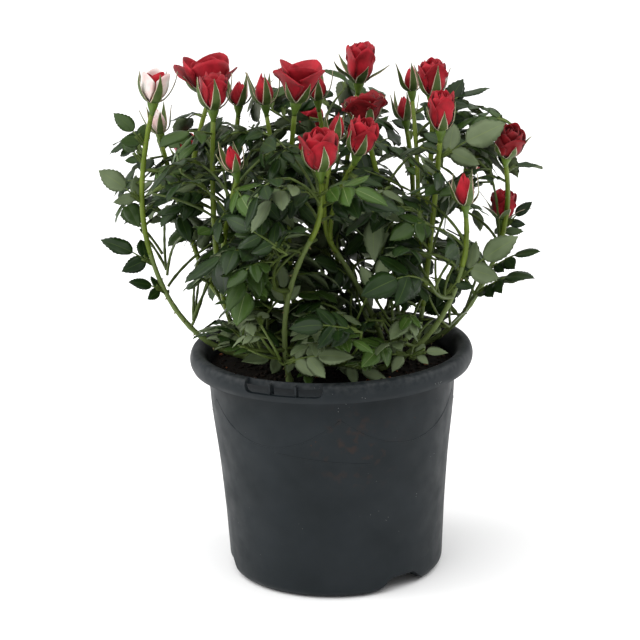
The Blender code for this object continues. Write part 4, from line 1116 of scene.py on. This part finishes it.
# ---- leaves --------------------------------------------------------------------------------------
Frame = namedtuple("Frame", "point forward across up")
Leaf = namedtuple("Leaf", "frames size tint", defaults=(None,))


def leaf_frames(root, bearing, rise, droop, facing, size, joints):
    """Frames along a stalk that arches out over a bearing: its root, each pair of leaflets and its end."""
    outward = polar(1.0, bearing, 0.0)
    point = root
    frames = []
    for i, joint in enumerate(joints):
        pitch = rise - droop * max(i - 1, 0)
        forward = outward * math.cos(pitch) + UP * math.sin(pitch)
        up = (facing - forward * facing.dot(forward)).normalized()
        step = joint - (joints[i - 1] if i else 0.0)
        point = point + forward * step * LEAFLET_LENGTH * size
        frames.append(Frame(point, forward, up.cross(forward), up))
    return frames


Leaflet = namedtuple("Leaflet", "root along across up length")


def leaflets_of(leaf):
    """Where each leaflet of a leaf leaves its stalk, which way it points and faces, and its length."""
    length = LEAFLET_LENGTH * leaf.size
    end = leaf.frames[-1]
    found = []
    along = (end.forward - end.up * LEAFLET_DROOP).normalized()
    found.append(Leaflet(end.point, along, end.across, end.across.cross(-along), length * END_LEAFLET))
    for number, place in enumerate(leaf.frames[1:-1]):
        share = FIRST_LEAFLETS + (1 - FIRST_LEAFLETS) * number / 2
        for hand in (-1, 1):
            along = place.forward * math.cos(LEAFLET_SPLAY) + place.across * hand * math.sin(LEAFLET_SPLAY)
            along = (along - place.up * LEAFLET_DROOP).normalized()
            across = along.cross(place.up).normalized() * -1
            found.append(Leaflet(place.point, along, across, across.cross(-along), length * share))
    return found


def leaf_outline(leaf, grow, lift):
    """A leaf's blades, without its stalk, as flat outlines, for testing whether it has room."""
    points, faces = [], []
    for leaflet in leaflets_of(leaf):
        half = leaflet.length * LEAFLET_WIDTH / 2 + grow
        root = leaflet.root + leaflet.along * UNTESTED + leaflet.up * lift
        start = len(points)
        for share, wide in TEST_OUTLINE:
            far = leaflet.along * (leaflet.length + grow) * share
            points.append(root + far + leaflet.across * half * wide)
        faces.append([start + i for i in range(len(TEST_OUTLINE))])
    return points, faces


Shape = namedtuple("Shape", "tree low high")


def shape_of(points, faces):
    low = [min(point[i] for point in points) for i in range(3)]
    high = [max(point[i] for point in points) for i in range(3)]
    return Shape(BVHTree.FromPolygons(points, faces), low, high)


def touches(shape, others):
    for other in others:
        if all(shape.low[i] <= other.high[i] and other.low[i] <= shape.high[i] for i in range(3)):
            if shape.tree.overlap(other.tree):
                return True
    return False


def in_space(point):
    """Whether a point is in the crown's oval, and not low down outside the pot's lip."""
    across, back = point.x - CROWN_MIDDLE[0], point.y - CROWN_MIDDLE[1]
    if point.z > CROWN_TOP:
        return False
    if math.hypot(across / CROWN_REACH[0], back / CROWN_REACH[1]) > 1.0:
        return False
    if math.hypot(point.x, point.y) > FLARE_RADIUS + FLARE_SLOPE * (point.z - RIM_CLEAR):
        return False
    return point.z > RIM_CLEAR or (math.hypot(point.x, point.y) < LIP_CLEAR and point.z > SOIL_TOP + 0.001)


def under_shoulder(point):
    """Whether a point is lower than the crown's top, which falls away towards its sides."""
    far = math.hypot(point.x - CROWN_MIDDLE[0], point.y - CROWN_MIDDLE[1])
    return point.z < CROWN_TOP - CROWN_FALL * max(0.0, far - SHOULDER)


@functools.lru_cache(maxsize=None)
def gap_sights():
    """The line of sight through the middle of each gap, and the gap's radius in metres."""
    found = []
    for across, down, pixels in SKY_GAPS:
        middle = Vector(picked(across, down, 0.0))
        found.append(((middle - EYE).normalized(), round(pixels * PIXEL + GAP_MARGIN, 4)))
    return found


def in_gap(point):
    """Whether a point would stop one of the gaps through which the sky shows from the front."""
    return any((point - EYE).cross(sight).length < radius for sight, radius in gap_sights())


def has_room(stem):
    """Whether a twig lies in the crown, and far enough in for a leaf at its end."""
    end = stem.points[-1]
    if not under_shoulder(end) or any(map(in_gap, stem.points[-TWIG_END:])):
        return False
    aside = Vector((end.x, end.y, 0.0)).normalized() * (TWIG_ROOM if end.z > RIM_CLEAR + TWIG_ROOM else 0.0)
    return all(in_space(point) for point in (*stem.points, end + aside))


def is_low(point):
    """Whether a point is low down at the front, where the leaves are smaller and paler."""
    return point.z < LOW_LEAVES and point.y < LOW_FRONT


def is_inner(point):
    return math.hypot(point.x - CROWN_MIDDLE[0], point.y - CROWN_MIDDLE[1]) < INNER


def by_place(point, low, inner, other):
    """What leaves have at a place: low down at the front, inside the crown, or elsewhere."""
    if is_low(point):
        return low
    return inner if is_inner(point) else other


def leaf_fits(leaf, taken):
    for lift in (-LEAF_CLEAR, 0.0, LEAF_CLEAR):
        points, faces = leaf_outline(leaf, LEAF_CLEAR, lift)
        if not all(in_space(point) for point in points):
            return False
        if touches(shape_of(points, faces), taken):
            return False
    return True


def line_shape(points, radius):
    rings, _ = tube_rings(points, np.full(len(points), radius), 3)
    walls, ends = tube_faces(len(points), 3)
    return shape_of([Vector(point) for point in rings.reshape(-1, 3)], [*walls.tolist(), *ends.tolist()])


def leaf_places(stem):
    """Distances along a shoot at which it carries leaves, from its top down."""
    span = line_length(stem.points) - stem.neck
    spacing = LEAF_SPACING * (LOW_SPACING if is_low(stem.points[-1]) else 1.0)
    count = int((span - BARE_FOOT) / spacing) + 1
    return [span - number * spacing for number in range(count)]


def leaf_facing(root, bearing, lean, roll):
    """The way a leaf's upper face looks: up, out from the crown's middle, and to its own side."""
    outward = polar(1.0, bearing, 0.0)
    radial = Vector((root.x, root.y, 0)).normalized()
    aside = UP.cross(outward)
    return UP + radial * math.tan(lean) * (1 - abs(outward.dot(radial))) + aside * math.tan(roll)


def set_leaf(plan, lines, rng, taken):
    """A leaf whose tip is given, on the nearest shoot or cane.

    Gives which shoot or cane that is, how far along it, and the leaf, or none if it has no room.
    """
    spots = [(k, i, point) for k, line in lines for i, point in enumerate(line)]
    k, i, root = min(spots, key=lambda spot: (spot[2] - Vector(plan.root)).length)
    reach = Vector(plan.tip) - root
    spread = SET_STALK + END_LEAFLET
    size = min(plan.size, reach.length / ((spread + 0.35) * LEAFLET_LENGTH))
    foot = reach.length / (size * LEAFLET_LENGTH) - spread
    joints = (0.0, foot, foot + SET_STALK)
    bearing = math.atan2(reach.y, reach.x)
    for attempt in range(TRIES):
        swing, lift = (math.radians(rng.uniform(-1.2, 1.2) * attempt) for _ in range(2))
        rise = math.asin(reach.z / reach.length) + SET_RISE + lift
        facing = UP + VIEW_SIDE * math.tan(math.radians(plan.lean))
        scale = size * (1 - SHRINK * attempt)
        frames = leaf_frames(root, bearing + swing, rise, SET_DROOP, facing, scale, joints)
        leaf = Leaf(frames, scale, plan.tint)
        if leaf_fits(leaf, taken):
            taken.append(shape_of(*leaf_outline(leaf, 0.0, 0.0)))
            return k, line_length(dict(lines)[k][:i + 1]), leaf
    return k, 0.0, None


def clear_strip(points):
    """A strip from a line towards the front, which no leaf or twig crosses, so that the line shows."""
    near = [point + VIEW_SIDE * SHOWN_REACH for point in points]
    count = len(points)
    return shape_of([*points, *near], [(i, i + 1, count + i + 1, count + i) for i in range(count - 1)])


def shown_lines(groups):
    """The canes, shoots and blooms that show at the front, as lines of points."""
    found = []
    for mass, group in zip(MASSES, groups):
        if mass.along == TIP and mass.cane in SHOWN_CANES:
            cane = next(item for item in CANES if item.name == mass.cane)
            found.append(cane_points(cane)[2:] + group[0].points[2:])
        for stem in group:
            if stem.bloom and (stem.points[-1].y < SHOWN_BACK or stem.points[-1].z > SHOWN_HIGH):
                axis, *_ = bloom_frame(stem)
                top = stem.points[-1] + axis * (CALYX + stem.bloom.height * 0.85)
                found.append([*stem.points[-SHOWN_STEPS:], top])
                for hand in (-SHOWN_SIDE, SHOWN_SIDE):
                    aside = Vector((hand * stem.bloom.width, 0.0, 0.0))
                    found.append([stem.points[-1] + aside, top + aside])
    return found


def try_leaf(stem, number, place, rng, taken):
    """One leaf in the first of a few attitudes in which it clears everything; or none."""
    root, _ = along_line(stem.points, place)
    top = number == 0 and stem.bloom
    joints = (0.0, *STALK_JOINTS[:2]) if top else (0.0, *STALK_JOINTS)
    bearing = stem.turn + LEAF_TURN * number
    if number == 0 and not stem.bloom:
        ahead = stem.points[-1] - stem.points[-3]
        bearing = math.degrees(math.atan2(ahead.y, ahead.x)) + rng.uniform(-30, 30)
    sizes = by_place(root, LOW_SIZES, INNER_SIZES, LEAF_SIZES)
    spans = by_place(root, LOW_SPANS, INNER_SPANS, LEAF_SPANS)
    for attempt in range(TRIES):
        size = (TOP_LEAF if top else rng.uniform(*sizes)) * (1 - SHRINK * attempt)
        swing = rng.uniform(-6, 6) * attempt
        rise, droop, lean, roll = [math.radians(rng.uniform(*span)) for span in spans]
        heading = math.radians(bearing + swing)
        facing = leaf_facing(root, heading, lean, roll)
        leaf = Leaf(leaf_frames(root, heading, rise, droop, facing, size, joints), size)
        if not under_shoulder(leaf.frames[-1].point) or any(map(in_gap, leaf_outline(leaf, 0.0, 0.0)[0])):
            continue
        if leaf_fits(leaf, taken):
            taken.append(shape_of(*leaf_outline(leaf, 0.0, 0.0)))
            return leaf
    return None


def bloom_shape(stem):
    """A closed cup where a bloom stands, for testing."""
    axis, side, across, base = bloom_frame(stem)
    bloom = stem.bloom
    line = [base, base + axis * CUP_FLOOR, base + axis * (CUP_FLOOR + bloom.height)]
    rings = []
    for point, radius in zip(line, (CUP_FOOT, bloom.width, bloom.width)):
        rings += [point + (side * math.cos(a) + across * math.sin(a)) * radius for a in
                  (math.tau * k / 8 for k in range(8))]
    walls, ends = tube_faces(3, 8)
    return shape_of(rings, [*walls.tolist(), *ends.tolist()])


def wall_shape():
    """The pot's wall from the compost to its lip, for testing."""
    rings = ((BODY_SIDE[0][0], SOIL_TOP - 0.002), (LIP[0] - 0.004, LIP[1]))
    points = [polar(radius, evenly_turned(WALL_SIDES, k), height)
              for radius, height in rings for k in range(WALL_SIDES)]
    walls, _ = tube_faces(2, WALL_SIDES)
    return shape_of(points, walls.tolist())


def grow_crown(rng):
    """Deals shoots, then leaves, to all masses in turn."""
    taken = [line_shape(cane_points(cane), CANE_FOOT_RADIUS) for cane in CANES]
    taken.append(wall_shape())
    groups = []
    for mass in MASSES:
        first = first_stem(mass, mass.shoots[0])
        group = [first] + [side_stem(first, FORK_AT, *shoot) for shoot in mass.shoots[1:]]
        groups.append(group)
        taken += [line_shape(stem.points, max(stem.radii)) for stem in group]
        taken += [bloom_shape(stem) for stem in group if stem.bloom]
    stems = [stem for group in groups for stem in group]
    leaves, leafy = [], {}
    lines = [(k, stem.points) for k, stem in enumerate(stems)]
    lines += [(-1 - k, cane_points(cane)) for k, cane in enumerate(CANES)]
    for plan in SET_LEAVES:
        k, place, leaf = set_leaf(plan, lines, rng, taken)
        if leaf:
            leaves.append(leaf)
            leafy[k] = max(leafy.get(k, 0.0), place)
    taken += [clear_strip(line) for line in shown_lines(groups)]
    for mass, group in zip(MASSES, groups):
        twigs = [(number, BLIND_SPAN, BLIND_LENGTH) for number in range(mass.blind + FINE_TWIGS)]
        tops = TOP_TWIGS * len(mass.shoots)
        twigs += [(number, TOP_TWIG_SPAN, TOP_TWIG_LENGTH) for number in range(tops)]
        for number, span, lengths in twigs:
            stem = blind_stem(group[number % len(mass.shoots)], number, span, lengths, rng)
            if has_room(stem) and not touches(line_shape(stem.points[2:], TWIG_TEST_RADIUS), taken):
                taken.append(line_shape(stem.points, max(stem.radii)))
                stems.append(stem)
    stems += cane_twigs(rng, taken)
    places = [leaf_places(stem) for stem in stems]
    for number in range(max(map(len, places))):
        for k, (stem, spots) in enumerate(zip(stems, places)):
            if number < len(spots):
                leaf = try_leaf(stem, number, spots[number], rng, taken)
                if leaf:
                    leaves.append(leaf)
                    leafy[k] = max(leafy.get(k, 0.0), spots[number])
    kept = []
    for k, stem in enumerate(stems):
        if stem.bloom:
            kept.append(stem)
        elif k in leafy:
            kept.append(trimmed(stem, leafy[k]))
    return kept, leaves


def leaflet_outline(shares):
    """Half the width of a leaflet along its length, as a share of its greatest half width."""
    wide = shares**0.62 * (1 - shares) ** 0.96
    wide = wide / (0.3924**0.62 * 0.6076**0.96)
    return np.maximum(wide, 0.035)


LEAFLET_SHARES = np.linspace(0.0, 1.0, 2 * TEETH + 3)
LEAFLET_HALF = leaflet_outline(LEAFLET_SHARES)
TOOTH = np.array([0.0] + [(-1.0) ** i for i in range(1, 2 * TEETH + 2)] + [0.0])


def add_leaflet(pile, leaflet, rng):
    """A leaflet as a thin closed blade: toothed, folded along its midrib, drooping and quilted."""
    rows, columns = len(LEAFLET_SHARES), len(BLADE_COLUMNS)
    width = LEAFLET_WIDTH * rng.uniform(0.78, 1.08) / 2
    fold = rng.uniform(0.10, 0.50)
    droop = rng.uniform(0.02, 0.34)
    wave, phase = rng.uniform(0.0, 0.022), rng.uniform(0, math.tau)
    twist = rng.uniform(-0.30, 0.30)
    shares = LEAFLET_SHARES[:, None]
    across = np.array(BLADE_COLUMNS)[None, :]
    margin = (np.abs(across) == 1.0) * 1.0
    half = width * LEAFLET_HALF[:, None] * (1 + 0.036 * margin * TOOTH[:, None])
    x = across * half
    y = shares + 0.011 * margin * TOOTH[:, None] + 0.05 * np.abs(across) * half
    quilt = 0.003 * TOOTH[:, None] * (np.abs(np.abs(across) - 0.52) < 0.01)
    quilt = quilt * np.minimum(1, 5 * LEAFLET_HALF[:, None] - 1)
    z = fold * np.abs(x) * (1 - 0.5 * shares) - droop * shares**2 + quilt
    z = z - 0.25 * x * x / max(width, 0.1) + wave * np.sin(math.tau * 2.2 * shares + phase) * across**2
    angle = twist * shares
    x, z = x * np.cos(angle) - (z + droop * shares**2) * np.sin(angle), z + x * np.sin(angle)
    top = np.stack(np.broadcast_arrays(x, y, z), axis=-1) * leaflet.length
    thick = np.where(LEAFLET_HALF > 0.1, BLADE_THICK, BLADE_THICK * 0.5)
    under = top[:, columns // 2 - 1:columns // 2 + 1].mean(axis=1)
    under[:, 2] -= thick
    local = np.concatenate([top.reshape(-1, 3), under])
    turn = np.array([leaflet.across, leaflet.along, leaflet.up])
    upper, lower, ends = sheet_faces(rows, columns, 1)
    strips = np.tile(np.arange(columns - 1), rows - 1)
    rib = strips == (columns - 1) // 2
    pile.add(local @ turn + np.array(leaflet.root),
             ((upper, np.where(rib, 1, 0)), (lower, 2), (ends, 0)))


def add_stalk(pile, leaf):
    """The stalk of a leaf, with a pair of narrow stipules along its foot."""
    points = [place.point for place in leaf.frames]
    fine = []
    for a, b in zip(points, points[1:]):
        fine += [a.lerp(b, i / 3) for i in range(3)]
    fine.append(points[-1])
    for _ in range(2):
        fine = [fine[0], *((a + b * 2 + c) / 4 for a, b, c in zip(fine, fine[1:], fine[2:])), fine[-1]]
    add_tube(pile, fine, np.linspace(*STALK_RADII, len(fine)), 5)
    first = leaf.frames[0]
    for hand in (-1, 1):
        aside = first.across * hand
        inner = [first.point + first.forward * far + aside * STIPULE[0][1] for far, _ in STIPULE]
        outer = [first.point + first.forward * far + aside * wide + first.up * STIPULE_RISE
                 for far, wide in STIPULE]
        under = [point - first.up * STIPULE_THICK for point in inner]
        rows = len(STIPULE)
        points = np.array([inner, outer, under]).reshape(-1, 3)
        step = np.arange(rows - 1)
        faces = []
        for a, b in ((0, 1), (1, 2), (2, 0)):
            low, high = step + a * rows, step + b * rows
            faces.append(np.stack([low, high, high + 1, low + 1], axis=-1))
        ends = np.array([[2 * rows, rows, 0], [rows - 1, 2 * rows - 1, 3 * rows - 1]])
        if hand == 1:
            faces = [rows_of[:, ::-1] for rows_of in faces]
            ends = ends[:, ::-1]
        pile.add(points, (*((rows_of, 0) for rows_of in faces), (ends, 0)))


def make_leaves(leaves, rng):
    piles = {}
    for tint in TINTS:
        depth = "pale" if tint in PALE_TINTS else "dark"
        piles[tint] = Pile(f"leaves_{tint}", f"leaf_{tint}", f"rib_{depth}", f"under_{depth}")
    stalks = Pile("leaf_stalks", "stalk_green")
    for leaf in leaves:
        # Inside the crown the leaves mostly get the darkest tints, as painted shade.
        shares = by_place(leaf.frames[-1].point, LOW_TINT_SHARES, INNER_SHADE_TINT_SHARES, TINT_SHARES)
        tint = leaf.tint or rng.choices(TINTS, shares)[0]
        add_stalk(stalks, leaf)
        for leaflet in leaflets_of(leaf):
            add_leaflet(piles[tint], leaflet, rng)
    pieces = [pile.build() for pile in piles.values() if pile.count]
    for piece in pieces:
        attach(piece, "root")
    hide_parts(*(f"foliage_{mass.name}" for mass in MASSES))
    stalk = stalks.build()
    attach(stalk, "root")


# ---- blooms --------------------------------------------------------------------------------------
RIGHTING = 1.0  # how far a bloom turns up from its shoot's line
PETAL_ROWS = 10
PETAL_COLUMNS = 11
CUP_FLOOR = 0.010  # height of the cup that stands for a bloom in tests, and its radius at the foot
CUP_FOOT = 0.003
CALYX = 0.0085  # height of the calyx over the shoot's end
HIP = ((-0.003, 0.0018), (0.0000, 0.0023), (0.0020, 0.0031), (0.0040, 0.0039),
       (0.0062, 0.0045), (0.0078, 0.0047), (0.0086, 0.0046), (0.0092, 0.0034))
SEPALS = 5
SEPAL_HALF = 0.0042
SEPAL_ROWS = 12
SEPAL_SHAPE = ((0.0, 0.12, 0.36, 0.62, 0.82, 1.0), (0.84, 1.0, 0.96, 0.70, 0.32, 0.04))  # half width along it
PETAL_THICK = 0.00030


def bloom_frame(stem):
    """A bloom's axis, two directions square to it, and its base."""
    base = stem.points[-1]
    axis = ((base - stem.points[-2]).normalized() + UP * RIGHTING).normalized()
    if stem.bloom.lean:
        tilt, bearing = map(math.radians, stem.bloom.lean)
        axis = Quaternion(UP.cross(polar(1.0, bearing, 0.0)), tilt) @ axis
    side = axis.orthogonal().normalized()
    return axis, side, axis.cross(side), base


def petal_curve(layer):
    """A cubic for the radius up a layer's petals, as a share of the bloom's width."""
    return np.polyfit((0, 0.35, 0.7, 1.0), layer.radii, 3)


def petal_grid(layer, bloom, facing, rng):
    """A petal's points in the bloom's own frame, across and then up it."""
    up = np.linspace(0, 1, PETAL_ROWS)[:, None]
    over = np.linspace(-1, 1, PETAL_COLUMNS)[None, :]
    radius = np.polyval(petal_curve(layer), up) * bloom.width
    opening = 0.42 + 0.58 * np.sin(np.pi / 2 * np.minimum(up / 0.55, 1))
    spread = layer.spread * rng.uniform(0.94, 1.06) * opening
    angle = facing + spread * over
    height = bloom.height * layer.height * rng.uniform(0.88, 1.04)
    z = height * up * (1 - layer.drop * np.abs(over) ** 2.4 * up)
    lip = smooth_step(up, 0.60, 1.0) * (0.35 + 0.65 * over**2) * (1 - 0.5 * over**8)
    roll = layer.roll * bloom.width * rng.uniform(0.5, 1.6)
    radius = radius + roll * lip + 0.035 * bloom.width * over
    ripple = np.sin(over * 4.1 + rng.uniform(0, math.tau)) * 0.022 * bloom.width * up
    radius = np.maximum(radius + ripple, 0.0004)
    z = z - 0.7 * roll * lip**2 + rng.uniform(0.0004, 0.0028) * (1 - np.abs(over)) ** 1.5 * up**3
    return np.stack([radius * np.cos(angle), radius * np.sin(angle), z], axis=-1)


def add_bloom(petals, greens, stem, rng):
    """The hip, the petals in layers and five sepals with pale edges."""
    bloom = stem.bloom
    axis, side, across, base = bloom_frame(stem)
    turn = np.array([side, across, axis])
    slot = {"red": 0, "deep": 1, "pale": 2}[bloom.colour]
    floor = np.array(base + axis * CALYX)
    upper, lower, ends = sheet_faces(PETAL_ROWS, PETAL_COLUMNS)
    for level, layer in enumerate(KINDS[bloom.kind]):
        tone = 0 if bloom.kind == "spent" and level == 0 else slot
        for number in range(layer.count):
            facing = math.radians(bloom.spin) + evenly_turned(layer.count, number) + level * 0.9
            grid = petal_grid(layer, bloom, facing + rng.uniform(-0.12, 0.12), rng)
            normal = np.cross(np.gradient(grid, axis=1), np.gradient(grid, axis=0))
            normal /= np.maximum(np.linalg.norm(normal, axis=-1, keepdims=True), 1e-9)
            under = (grid - normal * PETAL_THICK)[:, 1:-1]
            local = np.concatenate([grid.reshape(-1, 3), under.reshape(-1, 3)])
            petals.add(local @ turn + floor, ((upper, tone), (lower, tone), (ends, tone)))
    swell = 0.60 + 0.40 * min(bloom.width / 0.0110, 1.1)
    line = [base + axis * height for height, _ in HIP]
    add_tube(greens, line, [max(radius * swell, stem.radii[1]) for _, radius in HIP], 14, 0)
    outer = KINDS[bloom.kind][-1]
    hold = (bloom.width, bloom.height * outer.height, petal_curve(outer))
    length, middle, finish = bloom.sepals
    for number in range(SEPALS):
        facing = evenly_turned(SEPALS, number) + rng.uniform(-0.12, 0.12) + math.radians(bloom.spin) + 0.4
        bend = middle + rng.uniform(-6, 10), finish + rng.uniform(-12, 18)
        add_sepal(greens, floor, turn, facing, length * rng.uniform(0.86, 1.10), swell, bend, hold, rng)


def add_sepal(pile, floor, turn, facing, length, swell, bend, hold, rng):
    """A long tapering sepal that follows its bloom's side before it leaves it, keeled, with a pale margin.

    bend is its angles from the axis past the bloom's foot and at its tip; hold is the bloom's width, its
    height and the curve of its outer petals' radius, which the sepal stays outside.
    """
    shares = np.linspace(0, 1, SEPAL_ROWS)
    angles = np.radians(np.interp(shares, (0.0, 0.16, 0.42, 1.0), (70, 40, *bend)))
    step = length / (SEPAL_ROWS - 1)
    out = 0.0036 * swell + np.concatenate([[0], np.cumsum(np.sin(angles[:-1]) * step)])
    high = -0.0006 + np.concatenate([[0], np.cumsum(np.cos(angles[:-1]) * step)])
    width, tall, curve = hold
    inside = np.polyval(curve, np.clip(high / tall, 0, 1)) * width * (high < tall)
    out = np.maximum(out, inside + 0.0012)
    half = SEPAL_HALF * swell * np.interp(shares, *SEPAL_SHAPE)
    half = np.maximum(half, 0.00020)
    columns = np.array([-1.0, -0.80, 0.0, 0.80, 1.0])
    cup = 0.5 * half[:, None] ** 2 * columns[None, :] ** 2 / np.maximum(out, 0.004)[:, None]
    sway = rng.uniform(-0.10, 0.10) * shares**2 * length
    twist = (rng.uniform(-0.9, 0.9) * shares)[:, None]
    radial = out[:, None] - cup + 0.0004 * (columns == 0)[None, :]
    sideways = half[:, None] * columns[None, :] * np.cos(twist) + sway[:, None]
    height = high[:, None] + half[:, None] * columns[None, :] * np.sin(twist)
    x = radial * math.cos(facing) - sideways * math.sin(facing)
    y = radial * math.sin(facing) + sideways * math.cos(facing)
    top = np.stack([x, y, height], axis=-1)
    flat = np.cos(angles)
    outward = np.stack([flat * math.cos(facing), flat * math.sin(facing), -np.sin(angles)], axis=-1)
    under = top[:, 1:-1] - outward[:, None, :] * 0.00035
    local = np.concatenate([top.reshape(-1, 3), under.reshape(-1, 3)])
    upper, lower, ends = sheet_faces(SEPAL_ROWS, len(columns))
    strips = np.tile(np.arange(len(columns) - 1), SEPAL_ROWS - 1)
    edge = (strips == 0) | (strips == len(columns) - 2)
    pile.add(local @ turn + floor, ((upper, np.where(edge, 2, 1)), (lower, np.where(edge, 2, 1)), (ends, 1)))


def make_blooms(stems, rng):
    petals = Pile("petals", "petal_red", "petal_deep", "petal_pale")
    greens = Pile("sepals_and_hips", "hip_green", "sepal_green", "sepal_edge")
    for stem in stems:
        if stem.bloom:
            add_bloom(petals, greens, stem, rng)
    for pile in (petals, greens):
        piece = pile.build()
        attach(piece, "root")


# ---- the studio ----------------------------------------------------------------------------------
def make_camera():
    data = bpy.data.cameras.new("photo_camera")
    data.sensor_width = SENSOR
    data.lens = SENSOR * FOCAL_PIXELS / PICTURE
    data.clip_end = 50.0
    camera = bpy.data.objects.new("photo_camera", data)
    turn = Matrix(camera_axes()).transposed().to_4x4()
    camera.matrix_world = Matrix.Translation(EYE) @ turn
    bpy.context.scene.collection.objects.link(camera)
    bpy.context.scene.camera = camera


def add_light(name, place, target, size, power):
    data = bpy.data.lights.new(name, "AREA")
    data.shape = "DISK"
    data.size = size
    data.energy = power
    light = bpy.data.objects.new(name, data)
    light.location = place
    light.rotation_euler = (Vector(place) - Vector(target)).to_track_quat("Z", "Y").to_euler()
    bpy.context.scene.collection.objects.link(light)


def make_studio():
    pile = Pile("studio_floor")
    corners = ((-1, -1), (1, -1), (1, 1), (-1, 1))
    pile.add([(x * FLOOR_REACH, y * FLOOR_REACH, FLOOR_HEIGHT) for x, y in corners], (([[0, 1, 2, 3]], 0),))
    floor = pile.build()
    floor.data.materials.append(studio_material("studio_paper", PAPER))
    world = bpy.data.worlds.new("studio_world")
    world.use_nodes = True
    background = world.node_tree.nodes["Background"]
    background.inputs["Color"].default_value = (1.0, 1.0, 1.0, 1.0)
    background.inputs["Strength"].default_value = WORLD_LIGHT
    bpy.context.scene.world = world
    overhead = bpy.data.lights.new("overhead_light", "SUN")
    overhead.energy = OVERHEAD_LIGHT
    overhead.angle = math.radians(90)
    lamp = bpy.data.objects.new("overhead_light", overhead)
    lamp.rotation_euler = Vector(OVERHEAD_FROM).to_track_quat("Z", "Y").to_euler()
    bpy.context.scene.collection.objects.link(lamp)
    for name, place, size, power in SIDE_LIGHTS:
        add_light(name, place, LIGHTS_AIM, size, power)
    bpy.context.scene.view_settings.view_transform = "Standard"


def main():
    make_camera()
    make_studio()
    rng = random.Random(SEED)
    make_pot()
    make_bed()
    make_crumbs(rng)
    make_canes()
    stems, leaves = grow_crown(rng)
    make_shoots(stems)
    make_thorns(stems, rng)
    make_leaves(leaves, rng)
    make_blooms(stems, rng)


main()
